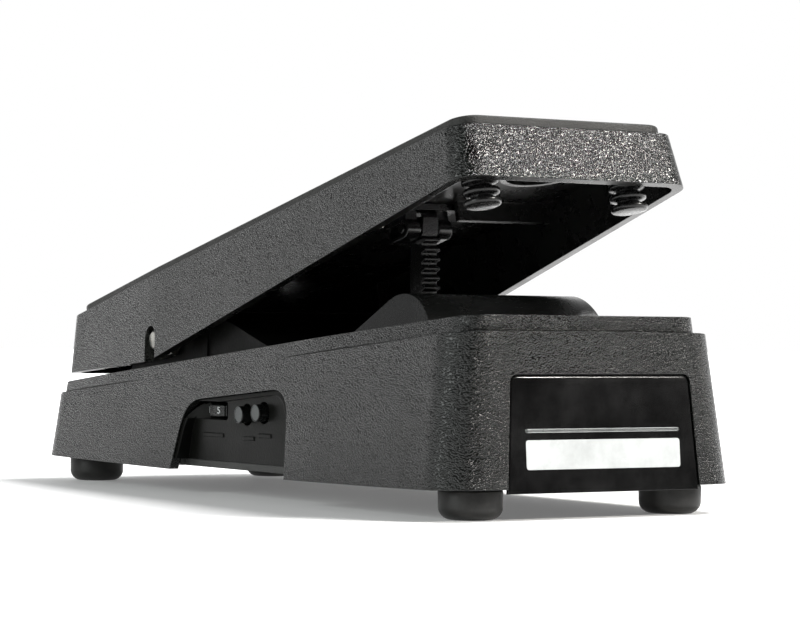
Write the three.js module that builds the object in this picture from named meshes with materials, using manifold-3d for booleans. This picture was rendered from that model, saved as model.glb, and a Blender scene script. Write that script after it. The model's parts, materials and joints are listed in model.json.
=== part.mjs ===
// A foot-operated expression pedal for a guitar or keyboard rig: a drafted plastic base, a rocking
// treadle, and between them a rack that turns the pinion of a potentiometer.
// Millimetres. +X is the pedal's right, +Y runs from the toe end to the heel end, +Z is up.
// The origin is on the floor, under the middle of the base.
import * as THREE from 'three';
import { mergeVertices } from 'three/addons/utils/BufferGeometryUtils.js';
import Module from 'manifold-3d';

const wasm = await Module();
wasm.setup();
const { MathUtils } = THREE;

// ---------------------------------------------------------------- driving dimensions
const BASE_WIDTH = 100;
const BASE_LENGTH = 250;
const BASE_CORNER = 12;
const FOOT_HEIGHT = 8.5;
const BASE_BOW = 1; // how far the skirt dips at mid length
const WALL = 3;
const DRAFT = Math.tan(MathUtils.degToRad(7.5)); // long sides
const END_DRAFT = Math.tan(MathUtils.degToRad(4.8)); // toe and heel faces
const RIM_TOE_Z = 56;
const RIM_HEEL_Z = 32;
const STEP_TOE = 4.8; // height of the stepped rim above its ledge
const STEP_HEEL = 3.5;
const DECK_DROP = 4; // deck below the rim's top
const DECK_THICK = 3;

const AXLE_Y = 55;
const AXLE_Z = 47.35;
const AXLE_R = 3;
const AXLE_HALF = 43.8;
const REST_TILT = MathUtils.degToRad(13.2); // toe up

const TREADLE_HALF = 45; // half width from the heel to the axle, level with the axle
const TREADLE_TOE = 175.8; // from the axle to the toe end
const TREADLE_HEEL = 64.7;
const TREADLE_TOP = 20.9;
const KNEE_DROP = 6.81; // the side walls' lowest point, under the axle
const TOE_EDGE = 5.7; // the walls' lower edge at the toe
const HEEL_EDGE = 2.85;
const TREADLE_WALL = 3;
const CEILING = TREADLE_TOP - TREADLE_WALL;
const PAD_THICK = 2.7;
const FIT = 0.25; // gap between seated pieces
const RUNNING = 0.08; // radial clearance of a shaft that turns or slides in its bore

const MODULE = 0.9; // rack and pinion
const PINION_TEETH = 14;
const PITCH_R = MODULE * PINION_TEETH / 2;
const RACK_X = -3.8;
const RACK_WIDTH = 5.4;
const RACK_BACK_Y = -38;
const RACK_DEPTH = 8;
const ADDENDUM = 0.8 * MODULE;
const DEDENDUM = 1.25 * MODULE;
const PITCH_Y = RACK_BACK_Y - RACK_DEPTH + ADDENDUM;
const PINION_Y = PITCH_Y - PITCH_R;
const PINION_Z = 41;
const RACK_PIN_Y = -42;
const RACK_PIN_Z = 80.8;
const RACK_PIN_R = 1.5;

const PANEL_X = -44.6; // face of the side controls' panel
const WHEEL = { x: -36.5, y: 10.5, z: 26.2, r: 9.6, half: 1.9 };
const BUTTONS = [
  { name: 'polarity_button', y: -7.8, z: 25.4 },
  { name: 'reverse_button', y: -17.9, z: 26.2 },
];
const BUTTON_R = 2.6;
const WHEEL_SHAFT_R = 2;
const BOARD_Z = 14.8;
const BOARD_THICK = 1.6;
const COVER_TOP = 10.8;

// ---------------------------------------------------------------- finishes
const finish = (color, roughness, metalness = 0) => ({ color, roughness, metalness });
const SHELL = finish(0x1b1d1c, 0.55);
const SMOOTH = finish(0x141514, 0.45);
const RUBBER = finish(0x0d0d0d, 0.85);
const STEEL = finish(0xa9aaa6, 0.35, 1);
const NYLON = finish(0x1a1a1a, 0.4);
const WHITE_NYLON = finish(0xd8d5cb, 0.5);
const BOARD = finish(0x1d4a2c, 0.5);
const BRASS = finish(0xb08d4a, 0.35, 1);
const WIRE = finish(0x7a1c1c, 0.5);

// ---------------------------------------------------------------- shape helpers
const { PI, cos, sin, sqrt, max, min } = Math;

function solid(geometry) {
  const bare = geometry.clone();
  bare.deleteAttribute('normal');
  bare.deleteAttribute('uv');
  const welded = mergeVertices(bare, 1e-4);
  return new wasm.Manifold(new wasm.Mesh({
    numProp: 3,
    vertProperties: new Float32Array(welded.attributes.position.array),
    triVerts: new Uint32Array(welded.index.array),
  }));
}

// Booleans leave slivers where two surfaces nearly meet; edges this short are merged away.
const SLIVER = 0.002;

function shell(manifold) {
  const mesh = manifold.simplify(SLIVER).getMesh();
  const geometry = new THREE.BufferGeometry();
  geometry.setAttribute('position', new THREE.BufferAttribute(new Float32Array(mesh.vertProperties), 3));
  geometry.setIndex(new THREE.BufferAttribute(new Uint32Array(mesh.triVerts), 1));
  geometry.computeVertexNormals();
  return geometry;
}

const join = (...parts) => shell(parts.map(solid).reduce((a, b) => a.add(b)));
const cut = (body, ...tools) => shell(tools.map(solid).reduce((a, b) => a.subtract(b), solid(body)));
const common = (...parts) => shell(parts.map(solid).reduce((a, b) => a.intersect(b)));

function box(x0, x1, y0, y1, z0, z1) {
  const block = new THREE.BoxGeometry(x1 - x0, y1 - y0, z1 - z0);
  return block.translate((x0 + x1) / 2, (y0 + y1) / 2, (z0 + z1) / 2);
}

function rodX(r, x0, x1, y, z, sides = 20) {
  return new THREE.CylinderGeometry(r, r, x1 - x0, sides).rotateZ(-PI / 2).translate((x0 + x1) / 2, y, z);
}

function rodZ(r, x, y, z0, z1, sides = 20) {
  return new THREE.CylinderGeometry(r, r, z1 - z0, sides).rotateX(PI / 2).translate(x, y, (z0 + z1) / 2);
}

// A turned piece standing on z = 0: the profile is a list of [radius, height].
function turned(profile, sides = 20) {
  const points = profile.map(([r, h]) => new THREE.Vector2(r, h));
  return new THREE.LatheGeometry(points, sides).rotateX(PI / 2);
}

const shapeOf = (points) => new THREE.Shape(points.map(([a, b]) => new THREE.Vector2(a, b)));

function extrude(shape, depth, curveSegments = 10) {
  return new THREE.ExtrudeGeometry(shape, { depth, steps: 1, bevelEnabled: false, curveSegments });
}

// A side profile drawn in (y, z), extruded from x0 to x1.
function profileX(shape, x0, x1, curveSegments = 10) {
  const geometry = extrude(shape, x1 - x0, curveSegments);
  return warp(geometry, (y, z, t) => [x0 + t, y, z]);
}

// Moves every vertex of a geometry by a function of its coordinates.
function warp(geometry, place) {
  const position = geometry.attributes.position;
  for (let i = 0; i < position.count; i++) {
    position.setXYZ(i, ...place(position.getX(i), position.getY(i), position.getZ(i)));
  }
  return geometry;
}

function tube(points, r, sides = 6) {
  const path = new THREE.CatmullRomCurve3(points.map((p) => new THREE.Vector3(...p)));
  const ring = new THREE.Shape().absarc(0, 0, r, 0, 2 * PI);
  const options = { extrudePath: path, steps: 10, curveSegments: sides, bevelEnabled: false };
  return new THREE.ExtrudeGeometry(ring, options);
}

// A closed plan outline with side walls that follow halfAt(y) and corners rounded by the two radii.
function planOutline(halfAt, y0, y1, [toeR, heelR], samples = 10) {
  const right = [];
  const arc = 4;
  for (let i = 0; i <= arc; i++) {
    const a = -PI / 2 + (PI / 2) * i / arc;
    right.push([halfAt(y0 + toeR) - toeR + toeR * cos(a), y0 + toeR + toeR * sin(a)]);
  }
  for (let i = 1; i < samples; i++) {
    const y = y0 + toeR + (y1 - y0 - toeR - heelR) * i / samples;
    right.push([halfAt(y), y]);
  }
  for (let i = 0; i <= arc; i++) {
    const a = (PI / 2) * i / arc;
    right.push([halfAt(y1 - heelR) - heelR + heelR * cos(a), y1 - heelR + heelR * sin(a)]);
  }
  const left = right.map(([x, y]) => [-x, y]).reverse();
  return shapeOf([...right, ...left]);
}

function roundedPolygon(corners, radii, arc = 4) {
  const points = [];
  corners.forEach((corner, i) => {
    const here = new THREE.Vector2(...corner);
    const before = new THREE.Vector2(...corners[(i + corners.length - 1) % corners.length]);
    const after = new THREE.Vector2(...corners[(i + 1) % corners.length]);
    const start = here.clone().add(before.sub(here).setLength(radii[i]));
    const end = here.clone().add(after.sub(here).setLength(radii[i]));
    for (let k = 0; k <= arc; k++) {
      const t = k / arc;
      points.push([
        (1 - t) ** 2 * start.x + 2 * t * (1 - t) * here.x + t * t * end.x,
        (1 - t) ** 2 * start.y + 2 * t * (1 - t) * here.y + t * t * end.y,
      ]);
      if (radii[i] === 0) break;
    }
  });
  return points;
}

// ---------------------------------------------------------------- scene graph
const pedal = new THREE.Group();
const treadle = new THREE.Group(); // its own frame: the axle is the origin, the toe lies along -Y
treadle.position.set(0, AXLE_Y, AXLE_Z);
treadle.rotation.x = -REST_TILT;
pedal.add(treadle);

function add(name, geometry, look, parent = pedal) {
  const mesh = new THREE.Mesh(geometry, new THREE.MeshStandardMaterial(look));
  mesh.name = name;
  parent.add(mesh);
  return mesh;
}

// ---------------------------------------------------------------- base
const along = (y, toe, heel) => toe + (heel - toe) * (y / BASE_LENGTH + 0.5);
const rimZ = (y) => along(y, RIM_TOE_Z, RIM_HEEL_Z);
const ledgeZ = (y) => along(y, RIM_TOE_Z - STEP_TOE, RIM_HEEL_Z - STEP_HEEL);
const deckZ = (y) => rimZ(y) - DECK_DROP;
const ceilingZ = (y) => deckZ(y) - DECK_THICK;

// The rim stands flush with the drafted wall at mid length and pulls in towards both ends.
const RIM_TOE_Y = -119;
const RIM_HEEL_Y = 119.9;
const rimPlan = (y) => 47 - 0.00037 * max(0, 22 - y) ** 2 - 0.00043 * max(0, y - 60) ** 2;
const wallPlan = (y) => BASE_WIDTH / 2 - (rimZ(y) - FOOT_HEIGHT) * DRAFT;
const rimHalf = (y) => min(rimPlan(y), wallPlan(y));

// The hull that the base's drafted walls lie on, set in by a wall thickness where asked.
function draftedHull(inset, z0, z1) {
  const halfX = BASE_WIDTH / 2;
  const halfY = BASE_LENGTH / 2;
  const corner = BASE_CORNER - inset;
  const outline = planOutline(() => halfX - inset, -halfY + inset, halfY - inset, [corner, corner], 1);
  return warp(extrude(outline, 1), (x, y, t) => {
    const z = z0 + (z1 - z0) * t;
    const rise = z - FOOT_HEIGHT;
    return [x * (1 - rise * DRAFT / halfX), y * (1 - rise * END_DRAFT / halfY), z];
  });
}

// Everything under a sloping line, as wide as the base.
function underLine(lineZ, z0) {
  const reach = BASE_LENGTH;
  const side = shapeOf([[-reach, z0], [reach, z0], [reach, lineZ(reach)], [-reach, lineZ(-reach)]]);
  return profileX(side, -60, 60);
}

function skirtProfile(lineZ) {
  const half = BASE_LENGTH / 2 + 5;
  const points = [];
  for (let i = 0; i <= 12; i++) {
    const y = -half + 2 * half * i / 12;
    points.push([y, FOOT_HEIGHT - BASE_BOW * max(0, 1 - (y / (BASE_LENGTH / 2)) ** 2)]);
  }
  return profileX(shapeOf([...points, [half, lineZ(half)], [-half, lineZ(-half)]]), -60, 60);
}

function rimBlock() {
  const outline = planOutline(rimPlan, RIM_TOE_Y, RIM_HEEL_Y, [8, 8], 14);
  return warp(extrude(outline, 1), (x, y, t) => {
    const rise = -2 + (STEP_TOE + 2) * t;
    return [x * (1 - rise * DRAFT / 44), y * (1 - rise * END_DRAFT / 119), ledgeZ(y) + rise];
  });
}

function deckPocket() {
  const inset = (y) => rimHalf(y) - WALL;
  const outline = planOutline(inset, RIM_TOE_Y + WALL + 0.6, RIM_HEEL_Y - WALL - 0.5, [6, 6], 14);
  return warp(extrude(outline, 1), (x, y, t) => [x, y, deckZ(y) + 10 * t]);
}

// Opening for the side controls, drawn in (y, z); it runs out through the skirt.
const RECESS = [[-39.6, 4], [-35.6, 34], [26, 28.8], [31.8, 4]];
const RECESS_RADII = [0, 10, 9, 0];

function recessShape(inset) {
  const isTop = (i) => i === 1 || i === 2;
  const corners = RECESS.map(([y, z], i) => [i < 2 ? y + inset : y - inset, isTop(i) ? z - inset : z]);
  return shapeOf(roundedPolygon(corners, RECESS_RADII));
}

// The toe face leans back by the draft; its own frame has x across, z up the face and y into it.
const LABEL = { x: 2, bottom: 32.6, top: 30.4, height: 31, depth: 1.6 };

function onToeFace(geometry) {
  return geometry.rotateX(-Math.atan(END_DRAFT)).translate(0, -BASE_LENGTH / 2, FOOT_HEIGHT);
}

function labelShape(inset, low) {
  const corners = [
    [LABEL.x - LABEL.bottom + inset, low],
    [LABEL.x + LABEL.bottom - inset, low],
    [LABEL.x + LABEL.top - inset, LABEL.height - inset],
    [LABEL.x - LABEL.top + inset, LABEL.height - inset],
  ];
  return shapeOf(roundedPolygon(corners, [0, 0, 2.4, 2.4], 3));
}

function labelBlock(inset, low, y0, y1) {
  return onToeFace(warp(extrude(labelShape(inset, low), 1), (x, z, t) => [x, y1 - (y1 - y0) * t, z]));
}

const FEET = [
  { name: 'toe_left', x: -33.9, y: -112 },
  { name: 'toe_right', x: 33.9, y: -112 },
  { name: 'heel_left', x: -33.9, y: 114 },
  { name: 'heel_right', x: 33.9, y: 114 },
];
const FOOT_R = 8.9;
const SCREW_R = 1.3;
const EAR = { x: 34, half: 2.5 }; // the pivot housing's end walls, which carry the bushes
const BUSH_R = 5;
const HOUSING = { toeY: -27, crestToe: 44, crestHeel: 64, heelY: 94, crestZ: 57.5, skin: 2.5 };
const HOUSING_WEB_Y = 32.5; // the housing's toe part is set in from here on
const HOUSING_HOLLOW = [-8, 78];
const POSTS = [[21, -62], [21, -41]]; // hold the potentiometer's bracket
const POST_END_Z = 31.3;
const JACK = { y: 12, z: 22, r: 4.75 };
const HUMP = { half: 29, y: -70.3, z: 44.4, r: 17, slope: MathUtils.degToRad(28), heelY: -33.5 };

// Height of the pivot housing: it swells out of the deck, is flat over the axle and falls away again.
function housingZ(y) {
  const { toeY, crestToe, crestHeel, heelY, crestZ } = HOUSING;
  const swell = MathUtils.smoothstep(y, toeY, crestToe) * (1 - MathUtils.smoothstep(y, crestHeel, heelY));
  const foot = y < AXLE_Y ? deckZ(toeY) : deckZ(heelY);
  return foot + (crestZ - foot) * swell;
}

// A slice of the pivot housing between two stations along Y, from floorZ up to its curved top.
function housingSlice(half, y0, y1, lower, floorZ) {
  const steps = 16;
  const top = [];
  for (let i = 0; i <= steps; i++) {
    const y = y1 + (y0 - y1) * i / steps;
    top.push([y, housingZ(y) - lower]);
  }
  return profileX(shapeOf([[y0, floorZ(y0)], [y1, floorZ(y1)], ...top]), -half, half);
}

function baseShell() {
  const lower = common(draftedHull(0, 0, 75), skirtProfile(ledgeZ));
  const rim = common(draftedHull(0, 0, 75), rimBlock(), underLine(rimZ, 0));
  const cavity = common(draftedHull(WALL, 0, 75), underLine(ceilingZ, 0));
  const openings = [
    box(-11, 16, -84, -41.5, 30, 60), // under the gear cover
    box(-8.9, 0, -47, -36.3, 30, 60), // for the rack
    profileX(recessShape(0), -60, PANEL_X + 1.9),
    labelBlock(0, -3, -3, LABEL.depth),
    rodX(JACK.r + 0.3, 30, 60, JACK.y, JACK.z),
    rodX(8.2, 46.9, 60, JACK.y, JACK.z),
  ];
  const belowDeck = underLine(deckZ, 0);
  const bosses = FEET.map(({ x, y }) => common(rodZ(4.2, x, y, COVER_TOP + 0.2, 60, 16), belowDeck));
  const posts = POSTS.map(([x, y]) => common(rodZ(4, x, y, POST_END_Z, 60, 16), belowDeck));
  const pilots = FEET.map(({ x, y }) => rodZ(SCREW_R + 0.1, x, y, 0, 21, 12));
  const postPilots = POSTS.map(([x, y]) => rodZ(SCREW_R + 0.1, x, y, 20, POST_END_Z + 6.5, 12));
  const endFace = EAR.x + EAR.half;
  const buried = (y) => deckZ(y) - 1.5;
  const housing = [
    housingSlice(endFace - 0.8, HOUSING.toeY, HOUSING_WEB_Y + 1, 0.2, buried),
    housingSlice(endFace, HOUSING_WEB_Y, HOUSING.heelY, 0, buried),
  ];
  const hollowUnder = housingSlice(EAR.x - EAR.half, ...HOUSING_HOLLOW, HOUSING.skin, () => 20);
  const bores = [-1, 1].map((side) => rodX(BUSH_R + 0.1, side * EAR.x - 5, side * EAR.x + 5, AXLE_Y, AXLE_Z));
  const hollow = cut(join(lower, rim), deckPocket(), cavity);
  const opened = cut(hollow, ...openings);
  const full = join(opened, ...bosses, ...posts, ...housing);
  return cut(full, hollowUnder, ...bores, ...pilots, ...postPilots);
}
add('base_shell', baseShell(), SHELL);

const BOARD_SCREWS = [{ name: 'toe', x: 30, y: -24 }, { name: 'heel', x: -34, y: 31 }];

function bottomCover() {
  const halfX = BASE_WIDTH / 2 - WALL - 0.5;
  const halfY = BASE_LENGTH / 2 - WALL - 0.5;
  const corner = BASE_CORNER - WALL;
  const outline = planOutline(() => halfX, -halfY, halfY, [corner, corner], 1);
  const plate = extrude(outline, COVER_TOP - FOOT_HEIGHT - 0.2).translate(0, 0, FOOT_HEIGHT + 0.2);
  const holes = FEET.map(({ x, y }) => rodZ(SCREW_R + 0.2, x, y, 0, 20, 12));
  const bosses = BOARD_SCREWS.map(({ x, y }) => rodZ(3.2, x, y, COVER_TOP - 0.3, BOARD_Z - 0.1, 16));
  const pilots = BOARD_SCREWS.map(({ x, y }) => rodZ(SCREW_R + 0.1, x, y, COVER_TOP + 0.6, BOARD_Z + 1, 12));
  return cut(join(plate, ...bosses), ...holes, ...pilots, profileX(recessShape(0), -60, PANEL_X));
}
add('bottom_cover', bottomCover(), finish(0x3a3c3a, 0.5));

// ---------------------------------------------------------------- feet and their screws
function foot() {
  const edge = [];
  for (let i = 0; i <= 3; i++) {
    const a = (PI / 2) * i / 3;
    edge.push([FOOT_R - 3.4 + 3.4 * sin(a), 3.4 - 3.4 * cos(a)]);
  }
  const bore = [[SCREW_R + 0.2, FOOT_HEIGHT], [SCREW_R + 0.2, 3.4], [3.6, 3.4], [3.6, 0]];
  const neck = [[FOOT_R, FOOT_HEIGHT - 0.5], [7, FOOT_HEIGHT - 0.5], [7, FOOT_HEIGHT]];
  return turned([...bore, ...edge, ...neck, [SCREW_R + 0.2, FOOT_HEIGHT]]);
}

function screw(headR, headH, shankR, length) {
  const head = [[0, 0], [headR, 0], [headR, headH]];
  const shank = [[shankR, headH], [shankR, headH + length], [0, headH + length]];
  return turned([...head, ...shank], 10);
}

for (const { name, x, y } of FEET) {
  add(`foot_${name}`, foot(), RUBBER).position.set(x, y, 0);
  add(`foot_screw_${name}`, screw(3.2, 2, SCREW_R, 16), STEEL).position.set(x, y, 1.1);
}

// ---------------------------------------------------------------- gear cover: a hump across the deck
function humpShape(inset) {
  const r = HUMP.r - inset;
  const shape = new THREE.Shape();
  const startY = HUMP.y + r * sin(HUMP.slope);
  const startZ = HUMP.z + r * cos(HUMP.slope);
  const heel = HUMP.heelY - inset * 1.5;
  shape.moveTo(heel, 20);
  shape.lineTo(heel, startZ - (heel - startY) * Math.tan(HUMP.slope));
  shape.lineTo(startY, startZ);
  shape.absarc(HUMP.y, HUMP.z, r, PI / 2 - HUMP.slope, PI, false);
  shape.lineTo(HUMP.y - r, 20);
  return shape;
}

function aboveLine(lineZ) {
  const reach = BASE_LENGTH;
  const side = shapeOf([[-reach, lineZ(-reach)], [reach, lineZ(reach)], [reach, 200], [-reach, 200]]);
  return profileX(side, -60, 60);
}

// The cover's end faces lean in towards the top.
function lean(geometry) {
  const crest = HUMP.z + HUMP.r;
  return warp(geometry, (x, y, z) => [x * (1 + (crest - z) * DRAFT / HUMP.half), y, z]);
}

function gearCover() {
  const outer = lean(profileX(humpShape(0), -HUMP.half, HUMP.half, 12));
  const inner = lean(profileX(humpShape(2), -HUMP.half + 2, HUMP.half - 2, 12));
  const rackSlot = box(RACK_X - 4, RACK_X + 4, -47.3, -36.4, 30, 60);
  return cut(common(outer, aboveLine((y) => deckZ(y) + FIT)), inner, rackSlot);
}
add('gear_cover', gearCover(), SMOOTH);

// ---------------------------------------------------------------- label plate and side control panel
add('label_plate', labelBlock(0.35, -1.2, 0.35, LABEL.depth - 0.2), SMOOTH);

function controlPanel() {
  const outer = profileX(recessShape(FIT), -60, PANEL_X + 1.6);
  const hollow = profileX(recessShape(1.5), -70, PANEL_X);
  const aboveCover = box(-60, 0, -60, 60, COVER_TOP + 0.2, 60);
  const trimmed = common(cut(outer, hollow), draftedHull(0.7, 0, 75), aboveCover);
  const boss = box(PANEL_X + 0.6, -38.6, 0.5, 27, 21.8, 30.4);
  const scoop = rodZ(16, -57.4, 14.2, 23.4, 29, 32);
  const wheelSlot = rodZ(WHEEL.r + 0.7, WHEEL.x, WHEEL.y, WHEEL.z - 2.5, WHEEL.z + 2.5, 32);
  const holes = BUTTONS.map(({ y, z }) => rodX(3.3, -60, -30, y, z));
  return cut(join(trimmed, common(boss, profileX(recessShape(0.6), -60, 0))), scoop, wheelSlot, ...holes);
}
add('control_panel', controlPanel(), SMOOTH);

// ---------------------------------------------------------------- axle bearings and heel stops
function axleBush() {
  const flange = rodX(6.6, -EAR.half - 1.3, -EAR.half - 0.1, 0, 0);
  const sleeve = rodX(BUSH_R - 0.05, -EAR.half - 0.2, EAR.half, 0, 0);
  return cut(join(sleeve, flange), rodX(AXLE_R + RUNNING, -9, 9, 0, 0));
}
for (const [name, side] of [['left', -1], ['right', 1]]) {
  const bush = add(`axle_bush_${name}`, axleBush(), WHITE_NYLON);
  bush.position.set(side * EAR.x, AXLE_Y, AXLE_Z);
  bush.rotation.z = side > 0 ? 0 : PI;
}

const STOP_Y = 104;
for (const [name, side] of [['left', -1], ['right', 1]]) {
  const pad = turned([[0, 0], [4.6, 0], [5, 0.5], [4.6, 3.2], [0, 3.2]]);
  const stop = add(`heel_stop_${name}`, pad, RUBBER);
  stop.position.set(side * 25, STOP_Y, deckZ(STOP_Y) + 0.25);
  stop.rotation.x = -Math.atan((RIM_TOE_Z - RIM_HEEL_Z) / BASE_LENGTH);
}

// ---------------------------------------------------------------- treadle
const TREADLE_TAPER = 5; // how much narrower each side is at the toe than at the axle
const TREADLE_CORNERS = [7, 8]; // toe, heel

function treadleHalf(y) {
  return TREADLE_HALF - TREADLE_TAPER * max(0, -y) / TREADLE_TOE;
}

const TOE_DRAFT = 0.092;
const HEEL_DRAFT = 0.19;

function treadleHull(inset, z0, z1) {
  const outline = planOutline(
    (y) => treadleHalf(y) - inset, -TREADLE_TOE + inset, TREADLE_HEEL - inset,
    TREADLE_CORNERS.map((r) => r - inset * 0.6), 12);
  return warp(extrude(outline, 1), (x, y, t) => {
    const z = z0 + (z1 - z0) * t;
    const lean = y < 0 ? TOE_DRAFT / TREADLE_TOE : HEEL_DRAFT / TREADLE_HEEL;
    return [x * (1 - z * DRAFT / TREADLE_HALF), y * (1 - z * lean), z];
  });
}

// The side view of the treadle: flat on top, its lower edge bent at the knee below the axle.
function treadleSide(top, lift) {
  const toeSlope = (TOE_EDGE + KNEE_DROP) / (TREADLE_TOE - 0.7);
  const heelSlope = (HEEL_EDGE + KNEE_DROP) / (TREADLE_HEEL - 1.7);
  return shapeOf([
    [-200, -KNEE_DROP + 199.3 * toeSlope + lift],
    [0.7, -KNEE_DROP + lift],
    [90, -KNEE_DROP + 89.3 * heelSlope + lift],
    [90, top],
    [-200, top],
  ]);
}

const BUMPER = { x: 25.1, y: -163.3, low: 0.4, top: 10 };
const RING = { y: -158, outer: 12, inner: 10.2, low: 11.65 };
const CLAMP = { x: 38.5, half: 1.6, reach: 9 };
const CLAMP_SCREW_Y = [-6, 6];
const CROSS_RIB = { y: -107.2, low: 12, gap: [-17.4, 4.6] }; // broken where the yoke sits
const HEEL_RIB_Y = 52;
const SLOT = { toe: -102.3, heel: -97, z: 10.52, r: 1.8 }; // for the rack's pin, in both cheeks
const YOKE = { x0: -15.5, x1: 7, y0: -105.4, y1: -84, thick: 2.2 };
const CHEEKS = [[-12, -7.2], [-0.8, 3.9]];
const YOKE_SCREWS = [{ name: 'left', x: -11.5 }, { name: 'right', x: 2.5 }];
const YOKE_SCREW_Y = -88;

function treadleShell() {
  const outer = common(treadleHull(0, -15, 30), profileX(treadleSide(TREADLE_TOP, 0), -60, 60));
  const cavity = common(treadleHull(TREADLE_WALL, -20, 30), box(-60, 60, -200, 90, -30, CEILING));
  const inside = treadleHull(TREADLE_WALL - 0.5, -20, 30);
  const seats = [-BUMPER.x, BUMPER.x];
  const bosses = seats.map((x) => rodZ(6.8, x, BUMPER.y, BUMPER.top + FIT, CEILING + 1, 20));
  const stems = seats.map((x) => rodZ(2.6, x, BUMPER.y, 0, CEILING - 0.6, 12));
  const ring = cut(
    rodZ(RING.outer, 0, RING.y, RING.low, CEILING + 1, 28),
    rodZ(RING.inner, 0, RING.y, 0, CEILING, 28));
  const ribSlab = box(-60, 60, CROSS_RIB.y - 1, CROSS_RIB.y + 1, CROSS_RIB.low, CEILING + 1);
  const crossRib = common(inside, cut(ribSlab, box(...CROSS_RIB.gap, -200, 0, 0, CEILING)));
  const heelRib = common(inside, box(-60, 60, HEEL_RIB_Y - 4, HEEL_RIB_Y + 4, 4.6, CEILING + 1));
  const blocks = [-1, 1].map((side) => common(inside, box(
    side * CLAMP.x - CLAMP.half, side * CLAMP.x + CLAMP.half, -CLAMP.reach, CLAMP.reach, 3.4, CEILING + 1)));
  const axleSlots = [
    profileX(slotShape(3.3), -60, -40.2),
    profileX(slotShape(3.3), 40.2, 60),
  ];
  const pilots = [-1, 1].flatMap((side) => CLAMP_SCREW_Y.map((y) => rodZ(1.1, side * CLAMP.x, y, 0, 12, 10)));
  const yokePilots = YOKE_SCREWS.map(({ x }) => rodZ(1.1, x, YOKE_SCREW_Y, 0, CEILING + 2.1, 10));
  const braced = join(cut(outer, cavity), ...bosses, ring, crossRib, heelRib, ...blocks);
  return cut(braced, ...stems, ...axleSlots, ...pilots, ...yokePilots);
}

// A slot that is open at the bottom and round at the top, so the treadle drops over the axle.
function slotShape(r) {
  const slot = new THREE.Shape();
  slot.moveTo(r, -20);
  slot.lineTo(r, 1.2);
  slot.absarc(0, 1.2, r, 0, PI);
  slot.lineTo(-r, -20);
  return slot;
}
add('treadle_shell', treadleShell(), SHELL, treadle);

const padOutline = planOutline((y) => treadleHalf(y) - 5, -172.4, 57.8, [6.5, 8], 12);
add('tread_pad', extrude(padOutline, PAD_THICK).translate(0, 0, TREADLE_TOP + 0.3), RUBBER, treadle);
add('axle', rodX(AXLE_R, -AXLE_HALF, AXLE_HALF, 0, 0), STEEL, treadle);

function axleClamp() {
  const strap = box(-CLAMP.half + 0.2, CLAMP.half - 0.2, -CLAMP.reach, CLAMP.reach, -5.4, 3.2);
  const trimmed = cut(strap, box(-5, 5, 3.9, 20, -9, -1.2), box(-5, 5, -20, -3.9, -9, -1.2));
  const holes = CLAMP_SCREW_Y.map((y) => rodZ(1.3, 0, y, -9, 9, 12));
  return cut(trimmed, rodX(AXLE_R + RUNNING, -9, 9, 0, 0), ...holes);
}
for (const [name, side] of [['left', -1], ['right', 1]]) {
  add(`axle_clamp_${name}`, axleClamp(), STEEL, treadle).position.set(side * CLAMP.x, 0, 0);
  for (const [place, y] of [['toe', CLAMP_SCREW_Y[0]], ['heel', CLAMP_SCREW_Y[1]]]) {
    const pin = add(`clamp_screw_${name}_${place}`, screw(1.7, 1.2, 1, 9), STEEL, treadle);
    pin.position.set(side * CLAMP.x, y, -2.6);
  }
}

// ---------------------------------------------------------------- toe bumpers: three soft flanges each
function bumper() {
  const flange = (h) => [[3.3, h], [5, h + 0.5], [5, h + 1.4], [3.3, h + 2]];
  const tip = [[0, 0], [4.4, 0], [5, 0.6], [5, 1.3], [3.3, 2]];
  const body = [...tip, ...flange(3), ...flange(6), [4.6, 8.6], [4.6, BUMPER.top - BUMPER.low]];
  return turned([...body, [2.3, 9.6], [2.3, 14.4], [0, 14.4]], 20);
}
for (const [name, side] of [['left', -1], ['right', 1]]) {
  add(`toe_bumper_${name}`, bumper(), RUBBER, treadle).position.set(side * BUMPER.x, BUMPER.y, BUMPER.low);
}

// ---------------------------------------------------------------- rack and its yoke under the treadle
// The pin slides a few millimetres along the yoke's slots as the treadle rocks.
function obround(y0, y1, z, r) {
  const shape = new THREE.Shape();
  shape.absarc(y1, z, r, -PI / 2, PI / 2, false);
  shape.absarc(y0, z, r, PI / 2, 3 * PI / 2, false);
  return shape;
}

function yoke() {
  const plate = box(YOKE.x0, YOKE.x1, YOKE.y0, YOKE.y1, CEILING - YOKE.thick, CEILING - FIT);
  const cheeks = CHEEKS.map(([x0, x1]) => join(
    profileX(obround(SLOT.toe, SLOT.heel, SLOT.z, SLOT.r + 1.2), x0, x1),
    box(x0, x1, SLOT.toe - 1.6, SLOT.heel + 1.6, SLOT.z, CEILING - 1)));
  const slot = profileX(obround(SLOT.toe, SLOT.heel, SLOT.z, SLOT.r), -30, 30);
  const holes = YOKE_SCREWS.map(({ x }) => rodZ(1.3, x, YOKE_SCREW_Y, 0, 30, 12));
  return cut(join(plate, ...cheeks), slot, ...holes);
}
add('rack_yoke', yoke(), NYLON, treadle);
for (const { name, x } of YOKE_SCREWS) {
  const pin = add(`yoke_screw_${name}`, screw(2.2, 1.2, 1, 3.6), STEEL, treadle);
  pin.position.set(x, YOKE_SCREW_Y, CEILING - YOKE.thick - FIT - 1.2);
}

const PITCH = PI * MODULE;
const PRESSURE = Math.tan(MathUtils.degToRad(20));
const BACKLASH = 0.22;

const RACK_HEAD = { toeY: -44.8, top: 84.6 };

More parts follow.
